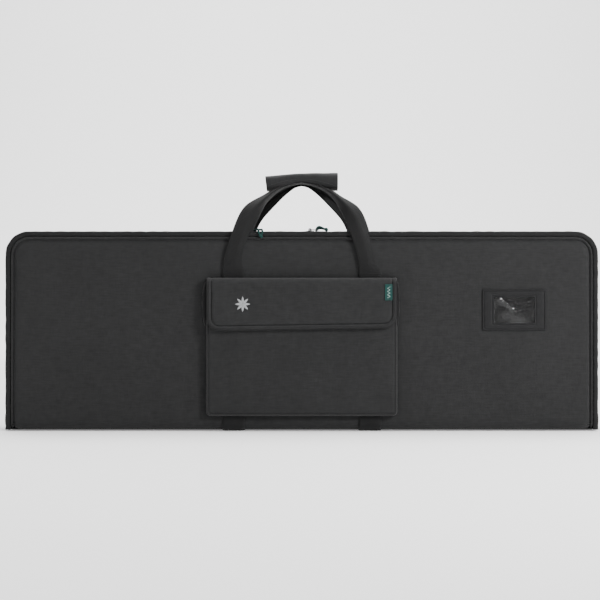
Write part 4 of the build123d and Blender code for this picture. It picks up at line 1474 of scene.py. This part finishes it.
CAMERA_DISTANCE = 2.8
CAMERA_HEIGHT = 223 * MM
CAMERA_OFFSET = -3 * MM
SENSOR = 36
CASE_WIDTH = 1.010
# The case's share of the picture's width
CASE_SHARE = 594 / 600
PAPER_HALF = 40
PAPER_FRONT, PAPER_BACK = -40, 7
PAPER_COVE = 4
PAPER_TOP = 16
PAPER_GLOW = 0.2
WORLD_LIGHT = 0.6


def placed(name, data, place):
    made = bpy.data.objects.new(name, data)
    made.location = place
    bpy.context.scene.collection.objects.link(made)
    return made


def camera():
    """Level camera square to the front, a little left of the middle, as the case is seen."""
    data = bpy.data.cameras.new("camera")
    data.sensor_width = SENSOR
    data.lens = SENSOR * CAMERA_DISTANCE * CASE_SHARE / CASE_WIDTH
    made = placed("camera", data, (CAMERA_OFFSET, front_y - CAMERA_DISTANCE, CAMERA_HEIGHT))
    made.rotation_euler = (pi / 2, 0, 0)
    bpy.context.scene.camera = made


def area_light(name, place, target, size, power):
    data = bpy.data.lights.new(name, "AREA")
    data.size = size
    data.energy = power
    made = placed(name, data, place)
    made.rotation_euler = (Vector(target) - Vector(place)).to_track_quat("-Z", "Y").to_euler()


def studio():
    """White sweep of paper under and behind the case, with soft light from all round."""
    line = [(y, 0) for y in (PAPER_FRONT, -3, 0, 3, PAPER_BACK)]
    for turn in np.linspace(0, pi / 2, 13)[1:]:
        line.append((PAPER_BACK + PAPER_COVE * sin(turn), PAPER_COVE * (1 - cos(turn))))
    line.append((PAPER_BACK + PAPER_COVE, PAPER_TOP))
    paper = Cloth("paper", 0.9, 0.0, 0.1)
    paper.colour((0.9, 0.9, 0.9), paper.shade(paper.noise(1.5), 0.99, 1.0))
    paper.shader.inputs["Emission Color"].default_value = (1, 1, 1, 1)
    paper.shader.inputs["Emission Strength"].default_value = PAPER_GLOW
    sweep = grid("paper_sweep", [[(x, y, z) for x in (-PAPER_HALF, PAPER_HALF)] for y, z in line])
    sweep.data.materials.append(paper.material)
    world = bpy.data.worlds.new("world")
    world.use_nodes = True
    background = world.node_tree.nodes["Background"]
    background.inputs[0].default_value = (1, 1, 1, 1)
    background.inputs[1].default_value = WORLD_LIGHT
    bpy.context.scene.world = world
    area_light("key", (1.7, -1.5, 1.25), (0.4, 0, 0.2), 0.6, 70)
    area_light("fill", (-1.6, -2.6, 1.4), (-0.2, 0, 0.2), 1.6, 6)
    area_light("top", (0.0, 0.7, 3.2), (0, 0.2, 0), 3.0, 210)
    area_light("backdrop", (0.0, 4.5, 5.0), (0, 11, 0.5), 4.0, 900)


camera()
studio()
